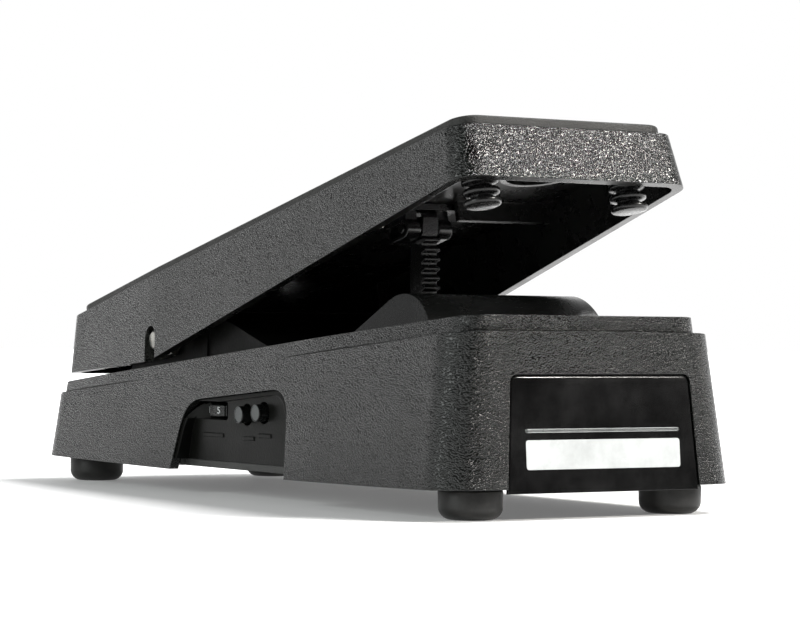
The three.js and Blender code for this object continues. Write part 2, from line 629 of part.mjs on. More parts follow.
function rack() {
  const halfTooth = PITCH / 4 - BACKLASH / 2;
  const low = -2;
  const high = 13;
  const root = PITCH_Y + DEDENDUM;
  const lowZ = PINION_Z + (low - 0.6) * PITCH;
  const headZ = PINION_Z + (high + 0.6) * PITCH;
  const outline = [[root, lowZ], [RACK_BACK_Y, lowZ], [RACK_BACK_Y, RACK_HEAD.top]];
  outline.push([RACK_HEAD.toeY, RACK_HEAD.top], [RACK_HEAD.toeY, headZ], [root, headZ]);
  for (let k = high; k >= low; k--) {
    const z = PINION_Z + k * PITCH;
    outline.push([root, z + halfTooth + DEDENDUM * PRESSURE]);
    outline.push([PITCH_Y - ADDENDUM, z + halfTooth - ADDENDUM * PRESSURE]);
    outline.push([PITCH_Y - ADDENDUM, z - halfTooth + ADDENDUM * PRESSURE]);
    outline.push([root, z - halfTooth - DEDENDUM * PRESSURE]);
  }
  const x0 = RACK_X - RACK_WIDTH / 2;
  const x1 = RACK_X + RACK_WIDTH / 2;
  return cut(profileX(shapeOf(outline), x0, x1), rodX(RACK_PIN_R + RUNNING, -20, 20, RACK_PIN_Y, RACK_PIN_Z));
}
add('rack', rack(), NYLON);
add('rack_pin', rodX(RACK_PIN_R, -12.6, 4.4, RACK_PIN_Y, RACK_PIN_Z, 20), NYLON);

// ---------------------------------------------------------------- pinion, potentiometer and bracket
const involute = (r, base) => sqrt(max(0, (r / base) ** 2 - 1)) - Math.acos(min(1, base / r));

// Involute teeth, thinned by the backlash; a gap faces +Y so that it takes the rack's tooth.
function pinionShape() {
  const base = PITCH_R * cos(MathUtils.degToRad(20));
  const tip = PITCH_R + ADDENDUM;
  const root = PITCH_R - DEDENDUM;
  const halfAngle = PI / (2 * PINION_TEETH) - BACKLASH / (2 * PITCH_R);
  const flankAt = (r) => halfAngle + involute(PITCH_R, base) - involute(max(r, base), base);
  const points = [];
  for (let k = 0; k < PINION_TEETH; k++) {
    const centre = 2 * PI * (k + 0.5) / PINION_TEETH;
    const radii = [root, base, (base + tip) / 2, tip];
    const flank = radii.map((r) => [r, r === root ? flankAt(base) * 0.9 : flankAt(r)]);
    flank.forEach(([r, a]) => points.push([r * cos(centre - a), r * sin(centre - a)]));
    flank.reverse().forEach(([r, a]) => points.push([r * cos(centre + a), r * sin(centre + a)]));
  }
  return shapeOf(points);
}

const SHAFT_R = 3;
const toothedDisc = profileX(pinionShape(), RACK_X - 3.3, RACK_X + 2.8);
const pinion = add('pinion', cut(toothedDisc, rodX(SHAFT_R + RUNNING, -20, 20, 0, 0)), WHITE_NYLON);
pinion.position.set(0, PINION_Y, PINION_Z);
add('pot_shaft', rodX(SHAFT_R, -8.6, 10.4, PINION_Y, PINION_Z), STEEL);

const POT_R = 8.4;
const BRACKET_X = 1.6;
function potBody() {
  const can = rodX(POT_R, BRACKET_X + 1.7, 12.4, PINION_Y, PINION_Z, 28);
  const collar = rodX(4.4, -0.8, BRACKET_X + 2, PINION_Y, PINION_Z);
  return cut(join(can, collar), rodX(SHAFT_R + RUNNING, -5, 10.6, PINION_Y, PINION_Z));
}
add('pot_body', potBody(), STEEL);
add('pot_nut', cut(rodX(6.3, -0.6, 1, PINION_Y, PINION_Z, 6), rodX(4.55, -5, 5, PINION_Y, PINION_Z)), STEEL);
add('pot_washer', cut(rodX(6.6, 1.1, 1.5, PINION_Y, PINION_Z), rodX(4.55, -5, 5, PINION_Y, PINION_Z)), STEEL);

const LUG_Z = [37, 41, 45];
const potLugs = LUG_Z.map((z) => box(8.6, 9.2, PINION_Y - 17.5, PINION_Y - 10, z - 0.9, z + 0.9));
const potWafer = box(8, 9.8, PINION_Y - 11.5, PINION_Y - POT_R - 0.15, 35.4, 46.6);
add('pot_terminals', join(potWafer, ...potLugs), BRASS);

function potBracket() {
  const upright = box(BRACKET_X, BRACKET_X + 1.5, PINION_Y - 10, PINION_Y + 9, 29.4, 46.6);
  const sole = box(BRACKET_X, 26, -67, -36, 29.4, POST_END_Z - 0.25);
  const holes = POSTS.map(([x, y]) => rodZ(SCREW_R + 0.2, x, y, 20, 40, 12));
  return cut(join(upright, sole), rodX(4.55, -5, 10, PINION_Y, PINION_Z), ...holes);
}
add('pot_bracket', potBracket(), STEEL);
for (const [i, name] of ['toe', 'heel'].entries()) {
  const [x, y] = POSTS[i];
  add(`bracket_screw_${name}`, screw(2.6, 1.5, SCREW_R, 8), STEEL).position.set(x, y, 27.7);
}

function rackGuide() {
  const block = common(box(-10, 1.4, -42.5, -31.5, 31.5, 60), underLine((y) => ceilingZ(y) - FIT, 0));
  const halfChannel = RACK_WIDTH / 2 + 0.25;
  const channel = box(RACK_X - halfChannel, RACK_X + halfChannel, -50, RACK_BACK_Y + 0.25, 20, 60);
  return cut(block, channel);
}
add('rack_guide', rackGuide(), WHITE_NYLON);

// ---------------------------------------------------------------- circuit board and side controls
const BOARD_TOP = BOARD_Z + BOARD_THICK;
const boardHoles = BOARD_SCREWS.map(({ x, y }) => rodZ(SCREW_R + 0.3, x, y, 0, 30, 12));
add('circuit_board', cut(box(-41, 40, -30, 36, BOARD_Z, BOARD_TOP), ...boardHoles), BOARD);
for (const { name, x, y } of BOARD_SCREWS) {
  const pin = add(`board_screw_${name}`, screw(2.6, 1.4, SCREW_R, 4.6), STEEL);
  pin.position.set(x, y, BOARD_TOP + 1.5);
  pin.rotation.x = PI;
}

for (const { name, y, z } of BUTTONS) {
  add(name, rodX(BUTTON_R, -47.8, -37.6, y, z, 20), SMOOTH);
  const body = box(-37.2, -26, y - 3.8, y + 3.8, BOARD_TOP + 0.1, z + 4);
  add(name.replace('button', 'switch'), cut(body, rodX(BUTTON_R + 0.3, -50, -34.5, y, z, 20)), NYLON);
}

const wheelRim = rodZ(WHEEL.r, WHEEL.x, WHEEL.y, WHEEL.z - WHEEL.half, WHEEL.z + WHEEL.half, 36);
add('range_wheel', cut(wheelRim, rodZ(WHEEL_SHAFT_R + RUNNING, WHEEL.x, WHEEL.y, 0, 60, 16)), SMOOTH);
add('range_shaft', rodZ(WHEEL_SHAFT_R, WHEEL.x, WHEEL.y, 18.6, WHEEL.z + WHEEL.half, 16), STEEL);
const rangeCan = box(WHEEL.x - 4.2, WHEEL.x + 6, WHEEL.y - 5, WHEEL.y + 5, BOARD_TOP + 0.1, 21.4);
add('range_pot', cut(rangeCan, rodZ(WHEEL_SHAFT_R + RUNNING, WHEEL.x, WHEEL.y, 18.4, 30, 16)), NYLON);

// ---------------------------------------------------------------- output jack
function outputJack() {
  const body = box(24, 44.2, JACK.y - 8, JACK.y + 8, BOARD_TOP + 0.1, JACK.z + 7);
  const collar = rodX(JACK.r, 44, 49.8, JACK.y, JACK.z);
  return cut(join(body, collar), rodX(3.3, 27, 60, JACK.y, JACK.z));
}
add('output_jack', outputJack(), NYLON);
const ringX = (outer, x0, x1, sides) => cut(
  rodX(outer, x0, x1, JACK.y, JACK.z, sides),
  rodX(JACK.r + 0.1, 30, 60, JACK.y, JACK.z));
add('jack_washer', ringX(7.4, 47, 47.5, 24), STEEL);
add('jack_nut', ringX(7.2, 47.6, 49.7, 6), STEEL);

// ---------------------------------------------------------------- wires from the potentiometer to the board
LUG_Z.forEach((z, i) => {
  const route = [
    [8.9, PINION_Y - 18.3, z],
    [10 + i, -72 - i, z - 5],
    [12 + 2 * i, -71 - i, 25],
    [14 + 3 * i, -63, 21],
    [14 + 4 * i, -42, 19],
    [14 + 4 * i, -26, BOARD_TOP + 0.9],
  ];
  add(`signal_wire_${i + 1}`, tube(route, 0.6), WIRE);
});

export default pedal;
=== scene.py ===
"""Looks for the expression pedal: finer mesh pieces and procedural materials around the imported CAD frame.
Shapes are written in millimetres and become metres when a mesh is made."""

import json
import math

import bmesh
import bpy
from mathutils import Matrix, Vector


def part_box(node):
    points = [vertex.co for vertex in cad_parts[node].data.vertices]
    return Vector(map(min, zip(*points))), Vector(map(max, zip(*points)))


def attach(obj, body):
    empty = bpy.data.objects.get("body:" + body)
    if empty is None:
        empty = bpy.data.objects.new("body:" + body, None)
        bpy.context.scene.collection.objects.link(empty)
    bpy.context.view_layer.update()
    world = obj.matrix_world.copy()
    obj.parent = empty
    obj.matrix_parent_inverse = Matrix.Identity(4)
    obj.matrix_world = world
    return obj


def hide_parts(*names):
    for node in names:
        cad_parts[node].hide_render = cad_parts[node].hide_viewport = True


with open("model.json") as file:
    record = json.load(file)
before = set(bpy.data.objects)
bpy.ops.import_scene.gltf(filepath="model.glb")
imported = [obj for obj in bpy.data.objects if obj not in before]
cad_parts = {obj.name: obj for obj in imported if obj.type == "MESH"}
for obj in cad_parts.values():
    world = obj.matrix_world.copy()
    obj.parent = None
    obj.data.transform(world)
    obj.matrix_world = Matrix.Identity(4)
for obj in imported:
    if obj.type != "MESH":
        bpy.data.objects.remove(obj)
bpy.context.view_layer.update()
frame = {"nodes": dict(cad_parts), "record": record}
MM = 0.001


def centre(node):
    """Middle of a CAD node's box, in millimetres."""
    low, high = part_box(node)
    return (low + high) / (2 * MM)


def centres(*nodes):
    return {node: centre(node) for node in nodes}


# ---------------------------------------------------------------- dimensions shared by the pieces
HALF_X = 50.0
HALF_Y = 125.0
FOOT_TOP = 8.5
BOW = 1.0
DRAFT = math.tan(math.radians(7.5))
END_DRAFT = math.tan(math.radians(4.8))
WALL = 3.0
RIM_TOE, RIM_HEEL = 56.0, 32.0
STEP_TOE, STEP_HEEL = 4.8, 3.5
DECK_DROP, DECK_THICK = 4.0, 3.0
RIM_ENDS = (-119.0, 119.9)
BASE_CORNER = 12.0

TILT = math.radians(13.2)
AXLE = Vector((0, *centre("axle")[1:]))
AXLE_R = 3.0
TOP = 20.9
CEILING = TOP - WALL
TREADLE_TOE, TREADLE_HEEL = 175.8, 64.7
TREADLE_HALF = 45.0
TREADLE_TAPER = 5.0
TREADLE_CORNERS = (7.0, 8.0)
TOE_LEAN, HEEL_LEAN = 0.092, 0.19
BUMPER = Vector((25.1, -163.3, 0.4))

PANEL_X = -44.6
LABEL_LEAN = math.atan(END_DRAFT)
COVER_TOP = 10.8
GAP = 0.25

SPAN = 60  # beyond the pedal's sides, for shapes that cut right across it
REACH = 140  # beyond the base's ends
LYING = Matrix.Rotation(math.pi / 2, 4, "Y")  # turns an upright lathe or prism to lie along X


def along(y, toe, heel):
    """A height that falls in a straight line from the toe end to the heel end of the base."""
    return toe + (heel - toe) * (y / (2 * HALF_Y) + 0.5)


def rim_z(y):
    return along(y, RIM_TOE, RIM_HEEL)


def ledge_z(y):
    return along(y, RIM_TOE - STEP_TOE, RIM_HEEL - STEP_HEEL)


def deck_z(y):
    return rim_z(y) - DECK_DROP


def ceiling_z(y):
    return deck_z(y) - DECK_THICK


def rim_plan(y):
    return 47 - 0.00037 * max(0, 22 - y) ** 2 - 0.00043 * max(0, y - 60) ** 2


def rim_half(y):
    return min(rim_plan(y), HALF_X - (rim_z(y) - FOOT_TOP) * DRAFT)


# ---------------------------------------------------------------- meshes
def linked(name, data):
    """A new object in the scene."""
    obj = bpy.data.objects.new(name, data)
    bpy.context.scene.collection.objects.link(obj)
    return obj


def mesh_object(points, faces):
    mesh = bpy.data.meshes.new("shape")
    mesh.from_pydata([Vector(p) * MM for p in points], [], faces)
    bm = bmesh.new()
    bm.from_mesh(mesh)
    bmesh.ops.remove_doubles(bm, verts=bm.verts, dist=1e-7)
    bmesh.ops.recalc_face_normals(bm, faces=bm.faces)
    bm.to_mesh(mesh)
    bm.free()
    return linked("shape", mesh)


def loft(rings, closed=False):
    """Skins a list of equal rings; the ends are capped, or joined to each other if closed."""
    n = len(rings[0])
    points = [p for ring in rings for p in ring]
    faces = []
    spans = len(rings) if closed else len(rings) - 1
    for i in range(spans):
        a, b = i * n, ((i + 1) % len(rings)) * n
        faces += [(a + j, a + (j + 1) % n, b + (j + 1) % n, b + j) for j in range(n)]
    if not closed:
        faces += [tuple(range(n)), tuple(range((len(rings) - 1) * n, len(rings) * n))]
    return mesh_object(points, faces)


def prism(outline, place):
    """A closed outline swept from t = 0 to t = 1; place(a, b, t) gives each point's position."""
    return loft([[place(a, b, t) for a, b in outline] for t in (0, 1)])


def block(low, high):
    (x0, y0, z0), (x1, y1, z1) = low, high
    outline = [(x0, y0), (x1, y0), (x1, y1), (x0, y1)]
    return prism(outline, lambda x, y, t: (x, y, z0 + (z1 - z0) * t))


def profile_x(outline, x0, x1):
    """A side profile in (y, z), from x0 to x1."""
    return prism(outline, lambda y, z, t: (x0 + (x1 - x0) * t, y, z))


def arc(cx, cy, r, start, end, count):
    """Points on a circle, angles in degrees, both ends included."""
    angles = [math.radians(start + (end - start) * i / count) for i in range(count + 1)]
    return [(cx + r * math.cos(a), cy + r * math.sin(a)) for a in angles]


def circle(cx, cy, r, count=48):
    return arc(cx, cy, r, 0, 360, count)[:-1]


def rod_x(r, x0, x1, y, z, sides=48):
    return profile_x(circle(y, z, r, sides), x0, x1)


def rod_z(r, x, y, z0, z1, sides=48):
    return prism(circle(x, y, r, sides), lambda a, b, t: (a, b, z0 + (z1 - z0) * t))


def rods_z(r, places, z0, z1, sides=48):
    """One upright rod at each of the places."""
    return [rod_z(r, p.x, p.y, z0, z1, sides) for p in places.values()]


def lathe(profile, sides=64):
    """Turns a profile of (radius, height) round Z; it starts and ends on the axis, or closes on itself."""
    rings = []
    for r, h in profile:
        rings.append([(r * math.cos(2 * math.pi * j / sides), r * math.sin(2 * math.pi * j / sides), h)
                      for j in range(sides)])
    solid = profile[0][0] < 1e-6 and profile[-1][0] < 1e-6
    if not solid:
        return loft(rings, closed=True)
    points = [p for ring in rings for p in ring]
    faces = []
    for i in range(len(rings) - 1):
        a, b = i * sides, (i + 1) * sides
        faces += [(a + j, a + (j + 1) % sides, b + (j + 1) % sides, b + j) for j in range(sides)]
    return mesh_object(points, faces)


def settle(obj):
    """Applies an object's modifiers to its mesh."""
    graph = bpy.context.evaluated_depsgraph_get()
    mesh = bpy.data.meshes.new_from_object(obj.evaluated_get(graph))
    obj.modifiers.clear()
    obj.data = mesh
    return obj


def boolean(body, tools, operation):
    for tool in tools:
        step = body.modifiers.new("boolean", "BOOLEAN")
        step.object = tool
        step.operation = operation
        step.solver = "MANIFOLD"
    settle(body)
    for tool in tools:
        bpy.data.objects.remove(tool)
    return body


def cut(body, *tools):
    return boolean(body, tools, "DIFFERENCE")


def join(body, *tools):
    return boolean(body, tools, "UNION")


def common(body, *tools):
    return boolean(body, tools, "INTERSECT")


def crisp(obj, angle=32):
    """Flat faces stay flat and curves stay smooth: sharp edges by angle, then normals weighted by area."""
    smooth(obj, angle)
    weighted = obj.modifiers.new("weighted", "WEIGHTED_NORMAL")
    weighted.keep_sharp = True
    weighted.weight = 80
    return obj


def bevelled(obj, width, segments=3, angle=30):
    bevel = obj.modifiers.new("bevel", "BEVEL")
    bevel.width = width * MM
    bevel.segments = segments
    bevel.limit_method = "ANGLE"
    bevel.angle_limit = math.radians(angle)
    return smooth(settle(obj))


def smooth(obj, angle=32):
    """Smooth shading, with a sharp edge wherever two faces meet at more than the angle."""
    bm = bmesh.new()
    bm.from_mesh(obj.data)
    for face in bm.faces:
        face.smooth = True
    for edge in bm.edges:
        edge.smooth = len(edge.link_faces) < 2 or edge.calc_face_angle(0) < math.radians(angle)
    bm.to_mesh(obj.data)
    bm.free()
    return obj


def moved(obj, offset=(0, 0, 0), turn=None):
    """Moves a mesh's own points: the turn first, then the offset in millimetres."""
    matrix = Matrix.Translation(Vector(offset) * MM)
    if turn is not None:
        matrix = matrix @ turn
    obj.data.transform(matrix)
    return obj


TREADLE_FRAME = Matrix.Translation(AXLE * MM) @ Matrix.Rotation(-TILT, 4, "X")


def onto_treadle(obj):
    """From the treadle's own frame, whose origin is the axle and whose toe lies along -Y."""
    obj.data.transform(TREADLE_FRAME)
    return obj


def plan_outline(half_at, y0, y1, corners, arc_steps=16, samples=60):
    """A closed plan whose long sides follow half_at(y), with corner radii for the toe end and heel end."""
    toe_r, heel_r = corners
    right = arc(half_at(y0 + toe_r) - toe_r, y0 + toe_r, toe_r, -90, 0, arc_steps)
    for i in range(1, samples):
        y = y0 + toe_r + (y1 - y0 - toe_r - heel_r) * i / samples
        right.append((half_at(y), y))
    right += arc(half_at(y1 - heel_r) - heel_r, y1 - heel_r, heel_r, 0, 90, arc_steps)
    return right + [(-x, y) for x, y in reversed(right)]


def rounded(corners, radii, steps=12):
    """A polygon whose corners are eased by quadratic curves that start a radius away."""
    points = []
    for i, corner in enumerate(corners):
        here = Vector(corner)
        before = Vector(corners[i - 1]) - here
        after = Vector(corners[(i + 1) % len(corners)]) - here
        if radii[i] == 0:
            points.append(tuple(here))
            continue
        start = here + before.normalized() * radii[i]
        end = here + after.normalized() * radii[i]
        for k in range(steps + 1):
            t = k / steps
            points.append(tuple(start * (1 - t) ** 2 + here * 2 * t * (1 - t) + end * t * t))
    return points


# ---------------------------------------------------------------- materials
def new_material(name):
    material = bpy.data.materials.new(name)
    material.use_nodes = True
    tree = material.node_tree
    return material, tree, tree.nodes["Principled BSDF"]


def node(tree, kind, inputs=None, **settings):
    """Adds a shader node; an input may be a value or another node's output."""
    made = tree.nodes.new(kind)
    for key, value in settings.items():
        setattr(made, key, value)
    for key, value in (inputs or {}).items():
        if isinstance(value, bpy.types.NodeSocket):
            tree.links.new(value, made.inputs[key])
        else:
            made.inputs[key].default_value = value
    return made


def coords(tree, stretch=(1.0, 1.0, 1.0), offset=0.0):
    """Object coordinates, stretched and offset so that two noises don't line up."""
    where = node(tree, "ShaderNodeTexCoord").outputs["Object"]
    return node(tree, "ShaderNodeMapping", {
        "Vector": where, "Location": (offset, offset, offset), "Scale": stretch}).outputs[0]


def noise(tree, size, detail=3.0, rough=0.5, offset=0.0, stretch=(1.0, 1.0, 1.0)):
    """Noise whose features are about `size` millimetres across, from 0 to 1."""
    where = coords(tree, stretch, offset)
    return node(tree, "ShaderNodeTexNoise", {
        "Vector": where, "Scale": 1 / (size * MM), "Detail": detail, "Roughness": rough}).outputs["Fac"]


def maths(tree, operation, a, b=0.0):
    return node(tree, "ShaderNodeMath", {0: a, 1: b}, operation=operation).outputs[0]


def dot(tree, a, b):
    return node(tree, "ShaderNodeVectorMath", {0: a, 1: b}, operation="DOT_PRODUCT").outputs["Value"]


def ramp(tree, fac, low, high, to_low, to_high):
    made = node(tree, "ShaderNodeMapRange", {
        "Value": fac, "From Min": low, "From Max": high, "To Min": to_low, "To Max": to_high})
    return made.outputs["Result"]


def mix_colour(tree, fac, a, b):
    made = node(tree, "ShaderNodeMix", {"Factor": fac}, data_type="RGBA")
    for socket, value in ((6, a), (7, b)):
        if isinstance(value, bpy.types.NodeSocket):
            tree.links.new(value, made.inputs[socket])
        else:
            made.inputs[socket].default_value = (*value, 1)
    return made.outputs[2]


def scaled(colour, factor, lift=0.0):
    return tuple(c * factor + lift for c in colour)


def eased(tree, radius):
    """The surface normal rounded over sharp edges by a radius in millimetres."""
    return node(tree, "ShaderNodeBevel", {"Radius": radius * MM}, samples=6).outputs["Normal"]


def edge_mask(tree, soft):
    """0 on flat faces, rising to 1 where the eased normal leaves the face's own."""
    flat = node(tree, "ShaderNodeNewGeometry").outputs["Normal"]
    return ramp(tree, dot(tree, soft, flat), 0.99, 0.8, 0.0, 1.0)


def bump(tree, height, depth, normal):
    """The normal roughened by a height from 0 to 1 that stands for a depth in millimetres."""
    return node(tree, "ShaderNodeBump", {
        "Height": height, "Strength": 1.0, "Distance": depth * MM, "Normal": normal}).outputs["Normal"]


def feed(tree, shader, colour, gloss, normal, shine):
    """Connects a surface's colour, roughness and normal, and sets how strongly it reflects."""
    tree.links.new(colour, shader.inputs["Base Color"])
    tree.links.new(gloss, shader.inputs["Roughness"])
    tree.links.new(normal, shader.inputs["Normal"])
    shader.inputs["Specular IOR Level"].default_value = shine


def pebbles(tree, size):
    """Rounded pebbles about `size` millimetres across, 1 on their tops and 0 in the valleys."""
    cells = node(tree, "ShaderNodeTexVoronoi", {
        "Vector": coords(tree), "Scale": 1 / (size * MM), "Smoothness": 0.35}, feature="SMOOTH_F1")
    return ramp(tree, cells.outputs["Distance"], 0.1, 0.7, 1.0, 0.0)


def moulded_plastic(name, colour, rough, grain, depth, ease, shine):
    """Injection-moulded black plastic: a coarse pebbled grain, handling smudges and rubbed edges."""
    material, tree, shader = new_material(name)
    soft = eased(tree, ease)
    pebble = pebbles(tree, grain)
    rolling = noise(tree, grain * 1.7, detail=2.0, offset=0.7)
    height = maths(tree, "ADD", pebble, maths(tree, "MULTIPLY", rolling, 0.9))
    smudge = noise(tree, 28, detail=4.0, rough=0.6, offset=1.9)
    tone = mix_colour(tree, ramp(tree, smudge, 0.3, 0.7, 0, 1), scaled(colour, 0.8), scaled(colour, 1.2))
    patches = ramp(tree, noise(tree, 4, offset=3.1), 0.4, 0.7, 0, 0.3)
    worn = maths(tree, "MULTIPLY", edge_mask(tree, soft), patches)
    rubbed = mix_colour(tree, worn, tone, scaled(colour, 3, 0.012))
    tipped = mix_colour(tree, ramp(tree, height, 0.9, 1.4, 0, 0.6), rubbed, scaled(colour, 2.0))
    gloss = maths(tree, "ADD", ramp(tree, smudge, 0.3, 0.7, rough - 0.05, rough + 0.05),
                  ramp(tree, rolling, 0.35, 0.65, -0.06, 0.06))
    feed(tree, shader, tipped, gloss, bump(tree, height, depth, soft), shine)
    return material


def smooth_plastic(name, colour, rough, grain=0.25, depth=0.02, scuffs=0.3, ease=0.3, shine=0.5):
    """Finer moulded plastic: a hazy micro grain, uneven sheen and faint scuffs along the part."""
    material, tree, shader = new_material(name)
    soft = eased(tree, ease)
    smudge = noise(tree, 14, detail=5.0, rough=0.65, offset=1.3)
    lines = noise(tree, 6, detail=6.0, rough=0.8, stretch=(1.0, 9.0, 3.0))
    scratch = ramp(tree, lines, 0.62, 0.7, 0, scuffs)
    tone = mix_colour(tree, ramp(tree, smudge, 0.3, 0.75, 0, 1), scaled(colour, 0.8), scaled(colour, 1.25))
    bare = scaled(colour, 2.5, 0.01)
    rubbed = mix_colour(tree, maths(tree, "MULTIPLY", edge_mask(tree, soft), 0.25), tone, bare)
    gloss = maths(tree, "ADD", ramp(tree, smudge, 0.3, 0.7, rough - 0.08, rough + 0.08),
                  maths(tree, "MULTIPLY", scratch, 0.3))
    normal = bump(tree, noise(tree, grain, detail=2.0), depth, soft)
    feed(tree, shader, mix_colour(tree, scratch, rubbed, bare), gloss, normal, shine)
    return material


def rubber(name, colour, rough, grain=0.5, depth=0.03, bloom_size=7):
    """Soft black rubber: matt bloom in patches, a leathery skin and a low sheen."""
    material, tree, shader = new_material(name)
    bloom = noise(tree, bloom_size, detail=5.0, rough=0.7, offset=2.2)
    tone = mix_colour(tree, ramp(tree, bloom, 0.4, 0.7, 0, 0.8), colour, scaled(colour, 2.2, 0.004))
    gloss = ramp(tree, bloom, 0.3, 0.7, rough - 0.1, rough + 0.1)
    normal = bump(tree, noise(tree, grain, detail=3.0), depth, eased(tree, 0.3))
    feed(tree, shader, tone, gloss, normal, 0.4)
    return material


def metal(name, colour, rough, streak=(1.0, 1.0, 1.0)):
    """Plated steel or brass: brushed streaks, dull patches and fine pits."""
    material, tree, shader = new_material(name)
    shader.inputs["Metallic"].default_value = 1.0
    brushed = noise(tree, 0.5, detail=4.0, rough=0.7, stretch=streak)
    dull = noise(tree, 3, detail=4.0, rough=0.6, offset=4.4)
    tone = mix_colour(tree, ramp(tree, dull, 0.35, 0.7, 0, 1), colour, scaled(colour, 0.7))
    gloss = maths(tree, "ADD", ramp(tree, dull, 0.3, 0.7, rough - 0.08, rough + 0.1),
                  ramp(tree, brushed, 0.3, 0.7, -0.06, 0.06))
    feed(tree, shader, tone, gloss, bump(tree, brushed, 0.01, eased(tree, 0.15)), 0.5)
    return material


GRAINED = moulded_plastic("grained_plastic", (0.004, 0.0045, 0.004), 0.18, grain=0.45, depth=0.14,
                          ease=0.35, shine=0.42)
INNER = smooth_plastic("inner_plastic", (0.004, 0.004, 0.0037), 0.28, grain=1.1, depth=0.025)
# The deck and the base's inside: a smoother moulding, with its colour darker and its sheen lower than the
# outside's as painted shade where the treadle shades them.
SHADED_DECK = smooth_plastic("deck_plastic_painted_shade", (0.003, 0.003, 0.0028), 0.45, grain=0.8, depth=0.05, shine=0.12)
SATIN = smooth_plastic("satin_plastic", (0.0045, 0.005, 0.0048), 0.24, grain=0.5, depth=0.05)
GLOSS = smooth_plastic("gloss_plastic", (0.004, 0.004, 0.004), 0.2, grain=1.5, depth=0.006, scuffs=0.06,
                       shine=0.35)
PANEL = smooth_plastic("panel_plastic", (0.004, 0.0042, 0.0036), 0.36, grain=0.6, depth=0.05, shine=0.1)
KEY_END = smooth_plastic("key_end", (0.06, 0.065, 0.066), 0.45, grain=0.5, depth=0.03)
COVER = smooth_plastic("cover_plastic", (0.03, 0.031, 0.029), 0.5, grain=0.6, depth=0.05)
BLACK_NYLON = smooth_plastic("black_nylon", (0.004, 0.004, 0.004), 0.24, grain=0.8, depth=0.02)
WHITE_NYLON = smooth_plastic("white_nylon", (0.62, 0.6, 0.53), 0.4, grain=0.6, depth=0.02, scuffs=0.1)
PRINT = smooth_plastic("pale_print", (0.56, 0.58, 0.58), 0.5, grain=0.4, depth=0.01, scuffs=0.12, ease=0.05)
RUBBER = rubber("black_rubber", (0.01, 0.0098, 0.009), 0.45)
SOFT_RUBBER = rubber("gloss_rubber", (0.004, 0.004, 0.004), 0.26, grain=0.35, depth=0.02, bloom_size=3)
PAD_RUBBER = rubber("pad_rubber", (0.01, 0.01, 0.009), 0.5, grain=0.45, depth=0.2, bloom_size=18)
STEEL = metal("plated_steel", (0.62, 0.61, 0.57), 0.3, streak=(1.0, 6.0, 6.0))
BRASS = metal("dull_brass", (0.62, 0.44, 0.18), 0.35)
BOARD = smooth_plastic("solder_mask", (0.015, 0.09, 0.035), 0.3, grain=1.2, depth=0.03, scuffs=0.1)
WIRE = smooth_plastic("wire_insulation", (0.25, 0.012, 0.012), 0.45, grain=0.6, depth=0.02, scuffs=0.1)


def finish(obj, name, material, body, slot, *nodes):
    """Gives a piece its name, its material, the body it moves with and the CAD nodes it stands for."""
    obj.name = name
    obj.data.materials.clear()
    obj.data.materials.append(material)
    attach(obj, body)
    if nodes:
        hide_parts(*nodes)


# ---------------------------------------------------------------- base shell
def drafted_hull(inset, z0, z1):
    """The base's outer walls, which lean in towards the top, set in by a wall thickness where asked."""
    corner = BASE_CORNER - inset
    ends = (-HALF_Y + inset, HALF_Y - inset)
    outline = plan_outline(lambda y: HALF_X - inset, *ends, (corner, corner), samples=8)

    def place(x, y, t):
        z = z0 + (z1 - z0) * t
        rise = z - FOOT_TOP
        return x * (1 - rise * DRAFT / HALF_X), y * (1 - rise * END_DRAFT / HALF_Y), z

    return prism(outline, place)


def sloping_slab(low_z, high_z):
    """Everything between two sloping lines, wider and longer than the pedal."""
    corners = ((-REACH, low_z), (REACH, low_z), (REACH, high_z), (-REACH, high_z))
    return profile_x([(y, line(y)) for y, line in corners], -SPAN, SPAN)


def side_slab(line_z):
    """Everything between the floor and a sloping line."""
    return sloping_slab(lambda y: 0, line_z)


def skirt():
    """Everything below the ledge, down to a lower edge that bows gently between the ends."""
    half = HALF_Y + 5
    steps = 40
    stations = [-half + 2 * half * i / steps for i in range(steps + 1)]
    edge = [(y, FOOT_TOP - BOW * max(0, 1 - (y / HALF_Y) ** 2)) for y in stations]
    return profile_x(edge + [(half, ledge_z(half)), (-half, ledge_z(-half))], -SPAN, SPAN)


def rim_block(inset=0):
    """The stepped rim, which stands on the ledge and leans in as the walls do."""
    low, high = RIM_ENDS
    outline = plan_outline(lambda y: rim_plan(y) - inset, low + inset, high - inset, (8, 8))
    root = 2  # how far the rim reaches down into the wall below

    def place(x, y, t):
        rise = (STEP_TOE + root) * t - root
        return x * (1 - rise * DRAFT / 44), y * (1 - rise * END_DRAFT / 119), ledge_z(y) + rise

    return prism(outline, place)


def rim_groove():
    """A fine shadow line round the rim's foot; it runs out where the rim is flush with the wall."""
    height, depth = 0.35, 0.5
    return cut(sloping_slab(ledge_z, lambda y: ledge_z(y) + height), rim_block(depth))


def deck_pocket():
    """The space above the sunk deck, inside the rim."""
    low, high = RIM_ENDS
    outline = plan_outline(lambda y: rim_half(y) - WALL, low + WALL + 0.6, high - WALL - 0.5, (6, 6))
    return prism(outline, lambda x, y, t: (x, y, deck_z(y) + 10 * t))


RECESS = [(-39.6, 4), (-35.6, 34), (26, 28.8), (31.8, 4)]
RECESS_RADII = (0, 10, 9, 0)


def recess_outline(inset):
    """Opening for the side controls, in (y, z); it runs out through the skirt."""
    (ay, az), (by, bz), (cy, cz), (dy, dz) = RECESS
    corners = [(ay + inset, az), (by + inset, bz - inset), (cy - inset, cz - inset), (dy - inset, dz)]
    return rounded(corners, RECESS_RADII)


LABEL_X = 2.0
LABEL_LOW_HALF, LABEL_TOP_HALF = 32.6, 30.4
LABEL_HEIGHT, LABEL_DEPTH = 31.0, 1.6


